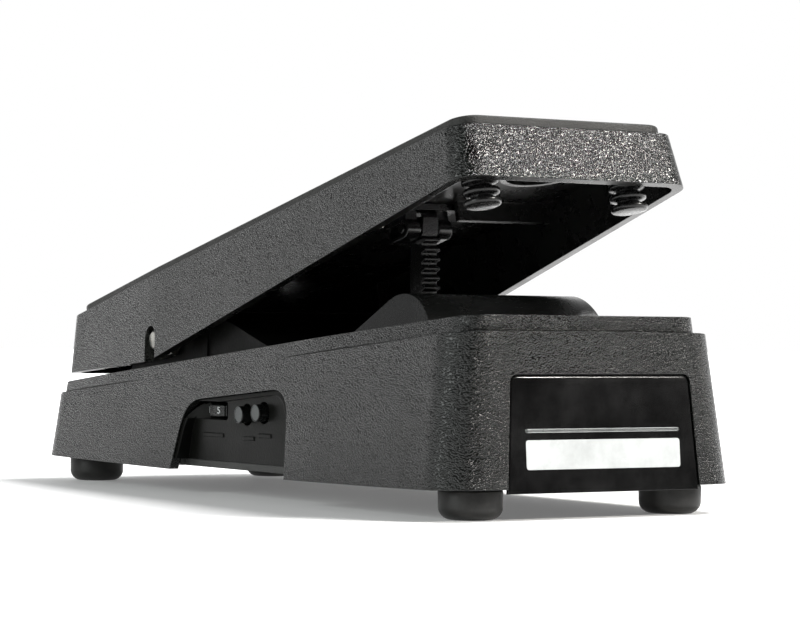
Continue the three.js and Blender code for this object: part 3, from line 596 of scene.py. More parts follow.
def onto_toe_face(obj):
    """From the toe face's leaning frame: x across, y into the face, z up the face."""
    return moved(obj, (0, -HALF_Y, FOOT_TOP), Matrix.Rotation(-LABEL_LEAN, 4, "X"))


def label_outline(inset, low):
    """The label's outline on the toe face; it runs down past the face's lower edge."""
    corners = [
        (LABEL_X - LABEL_LOW_HALF + inset, low),
        (LABEL_X + LABEL_LOW_HALF - inset, low),
        (LABEL_X + LABEL_TOP_HALF - inset, LABEL_HEIGHT - inset),
        (LABEL_X - LABEL_TOP_HALF + inset, LABEL_HEIGHT - inset),
    ]
    return rounded(corners, (0, 0, 2.4, 2.4))


def label_block(inset, low, y0, y1):
    return onto_toe_face(prism(label_outline(inset, low), lambda x, z, t: (x, y0 + (y1 - y0) * t, z)))


JACK = centre("jack_nut")
FEET = centres("foot_toe_left", "foot_toe_right", "foot_heel_left", "foot_heel_right")
POSTS = centres("bracket_screw_toe", "bracket_screw_heel")
POST_END = 31.3

EAR_IN, EAR_OUT = 31.5, 36.5  # the pivot housing's end walls, which carry the bushes
HOUSING_TOE, CREST_TOE, CREST_HEEL, HOUSING_HEEL = -27.0, 44.0, 64.0, 94.0
CREST_Z = 57.5
HOUSING_WEB = 32.5  # where the narrower web towards the toe ends


def smoothstep(value, low, high):
    """0 up to low, 1 from high, and an S curve between."""
    t = min(1, max(0, (value - low) / (high - low)))
    return t * t * (3 - 2 * t)


def housing_z(y):
    """The top of the pivot housing: it swells from the deck to a crest over the axle and back."""
    swell = smoothstep(y, HOUSING_TOE, CREST_TOE) * (1 - smoothstep(y, CREST_HEEL, HOUSING_HEEL))
    foot = deck_z(HOUSING_TOE) if y < AXLE.y else deck_z(HOUSING_HEEL)
    return foot + (CREST_Z - foot) * swell


def housing_slice(half, y0, y1, lower, floor_z, steps=40):
    """The housing from y0 to y1, its top lowered by a skin and its floor given by floor_z(y)."""
    top = [y1 + (y0 - y1) * i / steps for i in range(steps + 1)]
    outline = [(y0, floor_z(y0)), (y1, floor_z(y1))] + [(y, housing_z(y) - lower) for y in top]
    return profile_x(outline, -half, half)


def sheltered(at, normal):
    """Whether a face of the base lies on its deck or inside it, where the moulding is smooth and a darker,
    duller material stands for painted shade.
    """
    skin = 0.8 * WALL
    outward = at.x * normal.x + at.y * normal.y > 0
    if outward and (abs(at.x) > HALF_X - BASE_CORNER or abs(at.y) > HALF_Y - 1.5 * BASE_CORNER):
        return False
    if at.z > ledge_z(at.y) + 0.1:
        on_rim = normal.z > 0.9 and at.z > deck_z(at.y) + 1 and (abs(at.x) > EAR_OUT + 1 or abs(at.y) > 100)
        within = abs(at.x) < rim_half(at.y) - skin and RIM_ENDS[0] + skin < at.y < RIM_ENDS[1] - skin
        return within and not on_rim
    rise = at.z - FOOT_TOP
    x, y = abs(at.x) / (1 - rise * DRAFT / HALF_X), abs(at.y) / (1 - rise * END_DRAFT / HALF_Y)
    return x < HALF_X - skin and y < HALF_Y - skin


def smooth_inside(obj, material, belongs):
    """Gives a smoother material to the faces that belongs(centre, normal) picks."""
    obj.data.materials.append(material)
    for face in obj.data.polygons:
        if belongs(face.center / MM, face.normal):
            face.material_index = 1


def base_shell():
    lower = common(drafted_hull(0, 0, 75), skirt())
    rim = common(drafted_hull(0, 0, 75), rim_block(), side_slab(rim_z))
    cavity = common(drafted_hull(WALL, 0, 75), side_slab(ceiling_z))
    shell = cut(join(lower, rim), deck_pocket(), cavity)
    cut(shell,
        rim_groove(),
        block((-11, -84, 30), (16, -41.5, 60)),
        block((-8.9, -47, 30), (0, -36.3, 60)),
        profile_x(recess_outline(0), -SPAN, PANEL_X + 1.9),
        label_block(0, -3, -3, LABEL_DEPTH),
        rod_x(5.05, 30, SPAN, JACK.y, JACK.z),
        rod_x(8.2, 46.9, SPAN, JACK.y, JACK.z))
    bosses = rods_z(4.2, FEET, COVER_TOP + 0.2, 60) + rods_z(4, POSTS, POST_END, 60)
    bosses = [common(boss, side_slab(deck_z)) for boss in bosses]

    def buried(y):
        return deck_z(y) - 1.5

    join(shell,
         housing_slice(EAR_OUT - 0.8, HOUSING_TOE, HOUSING_WEB + 1, 0.2, buried),
         housing_slice(EAR_OUT, HOUSING_WEB, HOUSING_HEEL, 0, buried),
         *bosses)
    bores = [rod_x(5.1, side * 34 - 5, side * 34 + 5, AXLE.y, AXLE.z) for side in (-1, 1)]
    pilots = rods_z(1.4, FEET, 0, 21, 24) + rods_z(1.4, POSTS, 20, POST_END + 6.5, 24)
    cut(shell, housing_slice(EAR_IN, -8, 78, 2.5, lambda y: 20), *bores, *pilots)
    crisp(shell)
    finish(shell, "base_shell_moulded", GRAINED, "base", "moulded_shell", "base_shell")
    # the deck and the inside faces get the darker, duller material: painted shade
    smooth_inside(shell, SHADED_DECK, sheltered)


base_shell()


# ---------------------------------------------------------------- treadle
def treadle_half(y):
    return TREADLE_HALF - TREADLE_TAPER * max(0, -y) / TREADLE_TOE


def lean_at(y):
    """How much the end wall leans in per millimetre of height, as a share of its distance from the axle."""
    return TOE_LEAN / TREADLE_TOE if y < 0 else HEEL_LEAN / TREADLE_HEEL


def treadle_hull(inset, z0, z1):
    """The treadle's drafted outside, in its own frame, set in by a wall thickness where asked."""
    corners = [r - inset * 0.6 for r in TREADLE_CORNERS]
    ends = (-TREADLE_TOE + inset, TREADLE_HEEL - inset)
    outline = plan_outline(lambda y: treadle_half(y) - inset, *ends, corners)

    def place(x, y, t):
        z = z0 + (z1 - z0) * t
        return x * (1 - z * DRAFT / TREADLE_HALF), y * (1 - z * lean_at(y)), z

    return prism(outline, place)


def treadle_side():
    """The side view: flat on top, with the lower edge bent at the knee below the axle."""
    knee_y, knee_z = 0.7, -6.81
    toe_z, heel_z = 5.71206, 3.00333
    toe_slope = (toe_z - knee_z) / (TREADLE_TOE + knee_y)
    heel_slope = (heel_z - knee_z) / (TREADLE_HEEL - knee_y)
    toe_end, heel_end = -200, 90
    outline = [
        (toe_end, knee_z + (knee_y - toe_end) * toe_slope),
        (knee_y, knee_z),
        (heel_end, knee_z + (heel_end - knee_y) * heel_slope),
        (heel_end, TOP),
        (toe_end, TOP),
    ]
    return profile_x(outline, -SPAN, SPAN)


def inside_treadle(low, high):
    return common(treadle_hull(WALL - 0.5, -20, 30), block(low, high))


def slot_outline(r):
    """The slot in the treadle's side that shows the axle's end: round on top, open below."""
    return [(r, -20)] + arc(0, 1.2, r, 0, 180, 20) + [(-r, -20)]


CLAMP_X, CLAMP_HALF, CLAMP_REACH = 38.5, 1.6, 9.0
CLAMP_SCREWS = {"toe": -6, "heel": 6}
YOKE_GAP = (-17.4, 4.6)


def inner_face(at, normal):
    """Whether a face of the treadle belongs to its smooth underside rather than its grained outside."""
    if normal.z < -0.5:
        return True
    x, y = abs(at.x) / (1 - at.z * DRAFT / TREADLE_HALF), at.y / (1 - at.z * lean_at(at.y))
    skin = 0.85 * WALL
    return normal.z < 0.9 and x < treadle_half(y) - skin and skin - TREADLE_TOE < y < TREADLE_HEEL - skin


def treadle_shell():
    shell = common(treadle_hull(0, -15, 30), treadle_side())
    under = block((-SPAN, -200, -30), (SPAN, 90, CEILING))
    cut(shell, common(treadle_hull(WALL, -20, 30), under))
    top = CEILING + 1
    ring = cut(rod_z(12, 0, -158, 11.65, top), rod_z(10.2, 0, -158, 0, CEILING))
    bosses = [rod_z(6.8, s * BUMPER.x, BUMPER.y, 10.25, top) for s in (-1, 1)]
    ribs = [
        inside_treadle((-SPAN, -108.2, 12), (YOKE_GAP[0], -106.2, top)),
        inside_treadle((YOKE_GAP[1], -108.2, 12), (SPAN, -106.2, top)),
        inside_treadle((-SPAN, 48, 4.6), (SPAN, 56, top)),
    ]
    seats = [inside_treadle((s * CLAMP_X - CLAMP_HALF, -CLAMP_REACH, 3.4),
                            (s * CLAMP_X + CLAMP_HALF, CLAMP_REACH, top)) for s in (-1, 1)]
    join(shell, ring, *bosses, *ribs, *seats)
    cut(shell,
        profile_x(slot_outline(3.3), -SPAN, -40.2),
        profile_x(slot_outline(3.3), 40.2, SPAN),
        *[rod_z(2.6, s * BUMPER.x, BUMPER.y, 0, CEILING - 0.6) for s in (-1, 1)])
    crisp(shell)
    finish(shell, "treadle_shell_moulded", GRAINED, "treadle", "moulded_shell", "treadle_shell")
    smooth_inside(shell, INNER, inner_face)
    onto_treadle(shell)


treadle_shell()


PAD_ENDS = (-172.4, 57.8)
PAD_THICK, PAD_EASE = 2.7, 0.7
PAD_MARGIN = 5  # from the pad's side to the treadle's
PAD_CORNERS = (6.5, 8)
PAD_GROOVES, GROOVE_START, GROOVE_PITCH = 28, -161, 7.8
GROOVE_MARGIN, GROOVE_HALF, GROOVE_DEPTH = 11, 0.8, 0.7


def tread_pad():
    """A rubber mat with an eased rim and shallow drainage grooves across its middle."""
    levels = [(0.25, 0), (0, 0.25)]
    levels += [(PAD_EASE - x, PAD_THICK - PAD_EASE + z) for x, z in arc(0, 0, PAD_EASE, 0, 90, 5)]
    bottom = TOP + 0.3
    rings = []
    for inset, height in levels:
        corners = [r - inset for r in PAD_CORNERS]
        ends = (PAD_ENDS[0] + inset, PAD_ENDS[1] - inset)
        outline = plan_outline(lambda y: treadle_half(y) - PAD_MARGIN - inset, *ends, corners)
        rings.append([(x, y, bottom + height) for x, y in outline])
    pad = loft(rings)
    groove_floor = bottom + PAD_THICK - GROOVE_DEPTH
    grooves = []
    for i in range(PAD_GROOVES):
        y = GROOVE_START + GROOVE_PITCH * i
        half = treadle_half(y) - GROOVE_MARGIN
        outline = arc(half, y, GROOVE_HALF, -90, 90, 8) + arc(-half, y, GROOVE_HALF, 90, 270, 8)
        grooves.append(prism(outline, lambda a, b, t: (a, b, groove_floor + t)))
    onto_treadle(crisp(cut(pad, *grooves)))
    finish(pad, "tread_pad_rubber", PAD_RUBBER, "treadle", "rubber", "tread_pad")


tread_pad()


# ---------------------------------------------------------------- feet, bumpers and heel stops
def foot(name, at):
    """A rubber foot, rounded below, with a well for its screw's head and a stepped seat on top."""
    profile = [(1.5, FOOT_TOP), (1.5, 3.4), (3.6, 3.4), (3.6, 0.3), (3.9, 0)]
    profile += arc(5.4, 3.4, 3.4, -90, 0, 12)
    profile += [(8.9, 7.4), (8.75, 7.85), (8.4, 8.0), (7, 8.0), (7, FOOT_TOP)]
    obj = moved(smooth(lathe(profile)), (at.x, at.y, 0))
    finish(obj, name + "_rubber", RUBBER, "base", "rubber", name)


for foot_name, foot_at in FEET.items():
    foot(foot_name, foot_at)


def flange(low, r, neck):
    """One soft disc of a bumper, as (radius, height) points."""
    return [(neck, low - 0.2), (r - 1.0, low), (r - 0.25, low + 0.25), (r, low + 0.75), (r, low + 1.25),
            (r - 0.25, low + 1.7), (r - 1.0, low + 1.95), (neck, low + 2.15)]


def bumper(name, side):
    """A soft stop with three discs on a neck, and a stem held in the treadle's boss."""
    profile = [(0, 0), (4.4, 0), (4.95, 0.2), (5.3, 0.65), (5.3, 1.3), (5.05, 1.75), (4.3, 2.0), (3.2, 2.2)]
    profile += flange(3.1, 5.3, 3.2) + flange(6.2, 5.3, 3.2)
    profile += [(4.2, 8.7), (4.6, 9.0), (4.6, 9.6), (2.3, 9.6), (2.3, 14), (0, 14)]
    obj = moved(smooth(lathe(profile), angle=50), (side * BUMPER.x, BUMPER.y, BUMPER.z))
    finish(onto_treadle(obj), name + "_soft", SOFT_RUBBER, "treadle", "rubber", name)


bumper("toe_bumper_left", -1)
bumper("toe_bumper_right", 1)

STOP_Y = 104.0
STOP_LEAN = -math.atan((RIM_TOE - RIM_HEEL) / (2 * HALF_Y))


def heel_stop(name, side):
    """A low button on the deck, hollowed on top."""
    profile = [(0, 0), (4.6, 0), (5, 0.5), (4.95, 2.2), (4.7, 2.9), (4.2, 3.2)]
    profile += [(2.6, 3.2), (2.2, 2.7), (0, 2.7)]
    obj = smooth(lathe(profile), angle=40)
    moved(obj, (side * 25, STOP_Y, deck_z(STOP_Y) + GAP), Matrix.Rotation(STOP_LEAN, 4, "X"))
    finish(obj, name + "_soft", RUBBER, "base", "rubber", name)


heel_stop("heel_stop_left", -1)
heel_stop("heel_stop_right", 1)


# ---------------------------------------------------------------- gear cover
HUMP_Y, HUMP_Z, HUMP_R, HUMP_HALF = -70.3, 44.4, 17.0, 29.0
HUMP_HEEL, HUMP_SLOPE = -33.5, 28  # the heel edge, and the slope down to it in degrees


def hump(inset):
    """The cover's rounded side profile; its end faces lean in towards the top."""
    r, slope = HUMP_R - inset, math.radians(HUMP_SLOPE)
    start_y, start_z = HUMP_Y + r * math.sin(slope), HUMP_Z + r * math.cos(slope)
    heel = HUMP_HEEL - inset * 1.5
    outline = [(heel, 20), (heel, start_z - (heel - start_y) * math.tan(slope))]
    outline += arc(HUMP_Y, HUMP_Z, r, 90 - HUMP_SLOPE, 180, 40) + [(HUMP_Y - r, 20)]
    half = HUMP_HALF - inset

    def place(y, z, t):
        spread = 1 + (HUMP_Z + HUMP_R - z) * DRAFT / HUMP_HALF
        return (2 * t - 1) * half * spread, y, z

    return prism(outline, place)


def gear_cover():
    """The cover over the gears, standing a hair above the deck, with a slot for the rack."""
    cover = hump(0)
    common(cover, sloping_slab(lambda y: deck_z(y) + GAP, lambda y: 200))
    cut(cover, hump(2), block((-7.8, -47.3, 30), (0.2, -36.4, 60)))
    finish(crisp(cover), "gear_cover_moulded", SATIN, "base", "smooth_plastic", "gear_cover")


gear_cover()


# ---------------------------------------------------------------- label plate with a plain band
def label_plate():
    """A glossy plate with an eased edge, set in the toe face."""
    levels = [(0.35, LABEL_DEPTH - 0.2), (0.35, 0.75), (0.55, 0.4), (0.9, 0.25)]
    rings = [[(x, y, z) for x, z in label_outline(inset, -1.2)] for inset, y in levels]
    plate = onto_toe_face(smooth(loft(rings), angle=20))
    finish(plate, "label_plate_gloss", GLOSS, "base", "smooth_plastic", "label_plate")


def print_band(name, x0, x1, z0, z1):
    """A flat printed band with rounded corners, on the label plate."""
    outline = rounded([(x0, z0), (x1, z0), (x1, z1), (x0, z1)], [0.9] * 4, steps=6)
    band = onto_toe_face(prism(outline, lambda x, z, t: (x, 0.19 + 0.05 * t, z)))
    finish(smooth(band), name, PRINT, "base", "smooth_plastic")


label_plate()
print_band("label_band", -24, 28, 5.2, 13.2)
print_band("label_line", -24, 28, 15.2, 16.2)

# ---------------------------------------------------------------- side controls
WHEEL = centre("range_wheel")
WHEEL_R, WHEEL_HALF = 9.6, 1.9
BUTTONS = centres("polarity_button", "reverse_button")
BUTTON_R = 2.6
BUTTON_OUT, BUTTON_IN = -47.8, -37.6
WHEEL_WINDOWS = 8
WINDOW_ANGLE = 196  # where the window that shows at rest faces, in degrees
WINDOW_PITCH = 360 / WHEEL_WINDOWS
REST_NUMERAL = 5
TICKS = ((6.5, 19, 18.7), (-12.3, -5.7, 18.3), (-22.4, -14.8, 19.4))  # y from, y to and z of each bar


def control_panel():
    """The recessed panel: a thumb scoop beside the wheel, and a plain raised bar under each control."""
    panel = profile_x(recess_outline(GAP), -SPAN, PANEL_X + 1.6)
    cut(panel, profile_x(recess_outline(1.5), -70, PANEL_X))
    above_cover = block((-SPAN, -SPAN, COVER_TOP + 0.05), (0, SPAN, SPAN))
    common(panel, drafted_hull(0.7, 0, 75), above_cover)
    boss = common(block((PANEL_X + 0.6, -38.6, 21.8), (0.5, 27, 30.4)),
                  profile_x(recess_outline(0.6), -SPAN, 0))
    common(boss, block((PANEL_X + 0.6, -SPAN, 0), (-38.6, SPAN, SPAN)))
    join(panel, boss)
    cut(panel, rod_z(16, -57.4, 14.2, 23.4, 29, 96),
        rod_z(WHEEL_R + 0.7, WHEEL.x, WHEEL.y, WHEEL.z - 2.5, WHEEL.z + 2.5, 96),
        *[rod_x(3.3, -SPAN, -30, p.y, p.z) for p in BUTTONS.values()])
    for y0, y1, z in TICKS:
        bar = block((PANEL_X - 0.3, y0, z - 0.6), (PANEL_X + 1, y1, z + 0.6))
        join(panel, bevelled(bar, 0.15))
    finish(crisp(panel), "control_panel_moulded", PANEL, "base", "smooth_plastic", "control_panel")


control_panel()


def button(name, at):
    """A push button: the barrel, and a paler flat end framed by a small chamfer."""
    low, high = BUTTON_OUT - at.x, BUTTON_IN - at.x
    profile = [
        (0, low + 0.15), (BUTTON_R - 0.45, low + 0.15), (BUTTON_R - 0.3, low), (BUTTON_R - 0.15, low + 0.05),
        (BUTTON_R, low + 0.25), (BUTTON_R, high), (0, high),
    ]
    barrel = moved(smooth(lathe(profile), angle=25), at, LYING)
    finish(barrel, name + "_barrel", SATIN, name, "smooth_plastic", name)
    barrel.data.materials.append(KEY_END)
    end_x = (BUTTON_OUT + 0.3) * MM
    for face in barrel.data.polygons:
        if face.center.x < end_x and abs(face.normal.x) > 0.9:
            face.material_index = 1


for button_name, button_at in BUTTONS.items():
    button(button_name, button_at)


def range_wheel():
    """A thumb wheel: smooth windows alternate with groups of grip ribs round the rim."""
    outline = []
    for k in range(WHEEL_WINDOWS):
        start = WINDOW_ANGLE + WINDOW_PITCH * k - 13
        outline += arc(0, 0, WHEEL_R - 0.05, start, start + 26, 8)
        for j in range(4):
            a = start + 28 + 4.1 * j
            outline += arc(0, 0, WHEEL_R - 0.6, a, a + 0.8, 1) + arc(0, 0, WHEEL_R, a + 1.6, a + 3.2, 1)
    levels = [(0.93, -WHEEL_HALF), (1.0, -WHEEL_HALF + 0.35), (1.0, WHEEL_HALF - 0.35), (0.93, WHEEL_HALF)]
    rings = [[(x * s, y * s, z) for x, y in outline] for s, z in levels]
    wheel = loft(rings)
    cut(wheel, rod_z(2.08, 0, 0, -5, 5))
    moved(smooth(wheel, 25), WHEEL)
    finish(wheel, "range_wheel_knurled", SATIN, "range_wheel", "smooth_plastic", "range_wheel")


def wheel_numeral(number, angle):
    """A plain printed numeral on one of the wheel's windows."""
    curve = bpy.data.curves.new(f"numeral_{number}", "FONT")
    curve.body = str(number)
    curve.size = 2.9 * MM
    curve.align_x, curve.align_y = "CENTER", "CENTER"
    curve.extrude = 0.04 * MM
    text = linked("numeral_curve", curve)
    mesh = bpy.data.meshes.new_from_object(text)
    bpy.data.objects.remove(text)
    obj = linked("numeral", mesh)
    upright = Matrix.Rotation(math.pi / 2, 4, "X")
    turn = Matrix.Rotation(angle + math.pi / 2, 4, "Z")
    reach = Matrix.Translation(Vector((math.cos(angle), math.sin(angle), 0)) * (WHEEL_R - 0.02) * MM)
    obj.data.transform(Matrix.Translation(WHEEL * MM) @ reach @ turn @ upright)
    finish(obj, f"wheel_numeral_{number}", PRINT, "range_wheel", "smooth_plastic")


range_wheel()
for digit in range(1, WHEEL_WINDOWS + 1):
    wheel_numeral(digit, math.radians(WINDOW_ANGLE + WINDOW_PITCH * (digit - REST_NUMERAL)))


# ---------------------------------------------------------------- rack, yoke and pin
def obround(y0, y1, z, r):
    return arc(y1, z, r, -90, 90, 24) + arc(y0, z, r, 90, 270, 24)


SLOT_TOE, SLOT_HEEL, SLOT_Z, SLOT_R = -102.3, -97.0, 10.52, 1.8
CHEEKS = ((-12.0, -7.2), (-0.8, 3.9))
YOKE_SCREWS = {"yoke_screw_left": -11.5, "yoke_screw_right": 2.5}
YOKE_SCREW_Y = -88.0


def yoke():
    """The plate under the treadle with two slotted cheeks, in which the rack's pin rides."""
    body = block((-15.5, -105.4, CEILING - 2.2), (7, -84, CEILING - GAP))
    for x0, x1 in CHEEKS:
        around = obround(SLOT_TOE, SLOT_HEEL, SLOT_Z, SLOT_R + 1.2)
        knuckle = bevelled(profile_x(around, x0, x1), 0.5)
        web = block((x0 + 0.4, SLOT_TOE - 1.6, SLOT_Z), (x1 - 0.4, SLOT_HEEL + 1.6, CEILING - 1))
        join(body, knuckle, web)
    cut(body, profile_x(obround(SLOT_TOE, SLOT_HEEL, SLOT_Z, SLOT_R), -30, 30),
        *[rod_z(1.3, x, YOKE_SCREW_Y, 0, 30) for x in YOKE_SCREWS.values()])
    onto_treadle(crisp(body, 35))
    finish(body, "rack_yoke_moulded", BLACK_NYLON, "treadle", "black_nylon", "rack_yoke")


yoke()

TOOTH_MODULE = 0.9
PRESSURE_ANGLE = math.radians(20)
PITCH = math.pi * TOOTH_MODULE
RACK_X0, RACK_X1 = -6.5, -1.1
RACK_BACK, RACK_DEPTH = -38.0, 8.0
ADDENDUM, DEDENDUM, BACKLASH = 0.8 * TOOTH_MODULE, 1.25 * TOOTH_MODULE, 0.22
PITCH_Y = RACK_BACK - RACK_DEPTH + ADDENDUM
TEETH = 14
PITCH_R = TOOTH_MODULE * TEETH / 2
PINION = Vector((-3.8, PITCH_Y - PITCH_R, 41.0))
PIN = centre("rack_pin")
PIN_R = 1.5


def rack():
    """A flat bar with straight-flanked teeth on its toe side and a plain head that holds the pin."""
    half_tooth = PITCH / 4 - BACKLASH / 2
    root, crest = PITCH_Y + DEDENDUM, PITCH_Y - ADDENDUM
    wide, narrow = DEDENDUM * math.tan(PRESSURE_ANGLE), ADDENDUM * math.tan(PRESSURE_ANGLE)
    low, high = -2, 13
    low_z, neck_z = PINION.z + (low - 0.6) * PITCH, PINION.z + (high + 0.6) * PITCH
    head_y, head_z = -44.8, 84.6
    outline = [
        (root, low_z), (RACK_BACK, low_z), (RACK_BACK, head_z),
        (head_y, head_z), (head_y, neck_z), (root, neck_z),
    ]
    for k in range(high, low - 1, -1):
        z = PINION.z + k * PITCH
        outline += [
            (root, z + half_tooth + wide), (crest, z + half_tooth - narrow),
            (crest, z - half_tooth + narrow), (root, z - half_tooth - wide),
        ]
    bar = bevelled(profile_x(outline, RACK_X0, RACK_X1), 0.1, segments=2)
    cut(bar, rod_x(PIN_R + 0.08, -20, 20, PIN.y, PIN.z))
    finish(crisp(bar, 40), "rack_moulded", BLACK_NYLON, "rack", "black_nylon", "rack")


def rod_along_x(at, r, x0, x1, chamfer):
    """A turned rod lying along X, with chamfered ends."""
    profile = [(0, x0), (r - chamfer, x0), (r, x0 + chamfer), (r, x1 - chamfer), (r - chamfer, x1), (0, x1)]
    return moved(smooth(lathe(profile, sides=48), angle=30), (0, at.y, at.z), LYING)


rack()
rack_pin = rod_along_x(PIN, PIN_R, -12.6, 4.4, 0.3)
finish(rack_pin, "rack_pin_turned", BLACK_NYLON, "rack", "black_nylon", "rack_pin")
axle = rod_along_x(AXLE, AXLE_R, -43.8, 43.8, 0.5)
finish(axle, "axle_turned", STEEL, "treadle", "steel", "axle")


# ---------------------------------------------------------------- pinion and bearings
def pinion():
    """Involute teeth thinned by the backlash; a gap faces the rack."""
    base = PITCH_R * math.cos(PRESSURE_ANGLE)
    tip, root = PITCH_R + ADDENDUM, PITCH_R - DEDENDUM
    half_angle = math.pi / (2 * TEETH) - BACKLASH / (2 * PITCH_R)

    def involute(r):
        return math.sqrt(max(0, (r / base) ** 2 - 1)) - math.acos(min(1, base / r))

    def flank(r):
        return half_angle + involute(PITCH_R) - involute(max(r, base))

    radii = [root, base, base + (tip - base) / 3, base + 2 * (tip - base) / 3, tip]
    outline = []
    for k in range(TEETH):
        middle = 2 * math.pi * (k + 0.5) / TEETH
        side = [(r, flank(r) * (0.9 if r == root else 1)) for r in radii]
        outline += [(r * math.cos(middle - a), r * math.sin(middle - a)) for r, a in side]
        outline += [(r * math.cos(middle + a), r * math.sin(middle + a)) for r, a in reversed(side)]
    gear = profile_x(outline, -7.1, -1.0)
    cut(gear, rod_x(3.08, -20, 20, 0, 0))
    moved(crisp(gear, 35), (0, PINION.y, PINION.z))
    finish(gear, "pinion_moulded", WHITE_NYLON, "pinion", "white_nylon", "pinion")


pinion()


def axle_bush(name, side):
    """A flanged sleeve in the housing's end wall."""
    bore, sleeve, rim = AXLE_R + 0.08, 4.95, 6.6
    profile = [
        (bore, -3.8), (rim - 0.3, -3.8), (rim, -3.5), (rim, -2.9), (rim - 0.3, -2.6),
        (sleeve, -2.6), (sleeve, 2.2), (sleeve - 0.3, 2.5), (bore, 2.5),
    ]
    turn = Matrix.Rotation(side * math.pi / 2, 4, "Y")
    obj = moved(smooth(lathe(profile)), (side * 34, AXLE.y, AXLE.z), turn)
    finish(obj, name + "_turned", WHITE_NYLON, "base", "white_nylon", name)


axle_bush("axle_bush_left", -1)
axle_bush("axle_bush_right", 1)


def axle_clamp(name, side):
    """A strap that holds the axle up against the treadle's seat, with an ear for a screw at each end."""
    strap = block((-1.4, -9, -5.4), (1.4, 9, 3.2))
    cut(strap,
        block((-5, 3.9, -9), (5, 20, -1.2)),
        block((-5, -20, -9), (5, -3.9, -1.2)))
    bevelled(strap, 0.3, segments=2)
    holes = [rod_z(1.3, 0, y, -9, 9) for y in CLAMP_SCREWS.values()]
    cut(strap, rod_x(AXLE_R + 0.08, -9, 9, 0, 0), *holes)
    onto_treadle(moved(crisp(strap), (side * CLAMP_X, 0, 0)))
    finish(strap, name + "_strap", STEEL, "treadle", "steel", name)


axle_clamp("axle_clamp_left", -1)
axle_clamp("axle_clamp_right", 1)


# ---------------------------------------------------------------- screws
def screw(head_r, head_h, shank_r, length):
    """A pan-head screw standing on its head, with a cross recess and rolled thread."""
    profile = [
        (0, 0), (head_r * 0.55, 0.02 * head_h), (head_r * 0.85, 0.2 * head_h),
        (head_r, 0.55 * head_h), (head_r, head_h), (shank_r, head_h),
    ]
    pitch = 0.8
    for i in range(int((length - 1) / pitch)):
        z = head_h + 0.5 + i * pitch
        profile += [(shank_r - 0.2, z), (shank_r, z + pitch * 0.4), (shank_r - 0.2, z + pitch * 0.8)]
    profile += [(shank_r - 0.3, head_h + length), (0, head_h + length)]
    obj = lathe(profile, sides=32)
    arm, slot, depth = head_r * 0.55, head_r * 0.14, head_h * 0.6
    cut(obj, block((-arm, -slot, -1), (arm, slot, depth)),
        block((-slot, -arm, -1), (slot, arm, depth)))
    return smooth(obj, 35)


def base_screw(node, size, z, upside=False):
    """A screw of (head radius, head height, shank radius, length), its head's face at height z."""
    at = centre(node)
    turn = Matrix.Rotation(math.pi, 4, "X") if upside else None
    obj = moved(screw(*size), (at.x, at.y, z), turn)
    finish(obj, node + "_threaded", STEEL, "base", "steel", node)


def treadle_screw(node, size, at):
    obj = onto_treadle(moved(screw(*size), at))
    finish(obj, node + "_threaded", STEEL, "treadle", "steel", node)


for foot_name in FEET:
    base_screw(foot_name.replace("foot", "foot_screw"), (3.2, 2, 1.3, 16), 1.1)
for post_name in POSTS:
    base_screw(post_name, (2.6, 1.5, 1.3, 8), 27.7)
BOARD_TOP = 16.4
BOARD_SCREWS = centres("board_screw_toe", "board_screw_heel")
for board_screw in BOARD_SCREWS:
    base_screw(board_screw, (2.6, 1.4, 1.3, 4.6), BOARD_TOP + 1.5, upside=True)
for side_name, side in (("left", -1), ("right", 1)):
    for end_name, screw_y in CLAMP_SCREWS.items():
        screw_at = (side * CLAMP_X, screw_y, -2.6)
        treadle_screw(f"clamp_screw_{side_name}_{end_name}", (1.7, 1.2, 1, 9), screw_at)
for yoke_screw, screw_x in YOKE_SCREWS.items():
    treadle_screw(yoke_screw, (2.2, 1.2, 1, 3.6), (screw_x, YOKE_SCREW_Y, CEILING - 2.2 - GAP - 1.2))


# ---------------------------------------------------------------- output jack
def jack_ring(name, node, outer, x0, x1, sides):
    """The washer, or the six-sided nut with chamfered corners, round the jack's barrel."""
    ring = rod_x(outer, x0, x1, JACK.y, JACK.z, sides)
    if sides == 6:
        taper = [
            (0, x0 - 4), (outer - 2.9, x0 - 4), (outer + 1.1, x0),
            (outer + 1.1, x1 - 0.9), (outer - 0.5, x1), (0, x1),
        ]
        cone = moved(lathe(taper), (0, JACK.y, JACK.z), LYING)
        common(ring, cone)
    cut(ring, rod_x(4.85, 30, SPAN, JACK.y, JACK.z))
    finish(crisp(ring), name, STEEL, "base", "steel", node)


jack_ring("jack_washer_flat", "jack_washer", 7.4, 47, 47.5, 64)
jack_ring("jack_nut_hex", "jack_nut", 7.2, 47.6, 49.7, 6)


def output_jack():
    """The jack's square body and its threaded barrel, bored for the plug."""
    corners = ((24, JACK.y - 8, BOARD_TOP + 0.1), (44.2, JACK.y + 8, JACK.z + 7))
    body = bevelled(block(*corners), 0.4)
    thread = [(0, 44)]
    for i in range(9):
        x = 44.2 + 0.6 * i
        thread += [(4.55, x), (4.75, x + 0.2), (4.75, x + 0.35)]
    thread += [(4.5, 49.8), (0, 49.8)]
    join(body, moved(lathe(thread), (0, JACK.y, JACK.z), LYING))
    cut(body, rod_x(3.3, 27, SPAN, JACK.y, JACK.z))
    finish(crisp(body), "output_jack_moulded", BLACK_NYLON, "base", "black_nylon", "output_jack")


output_jack()


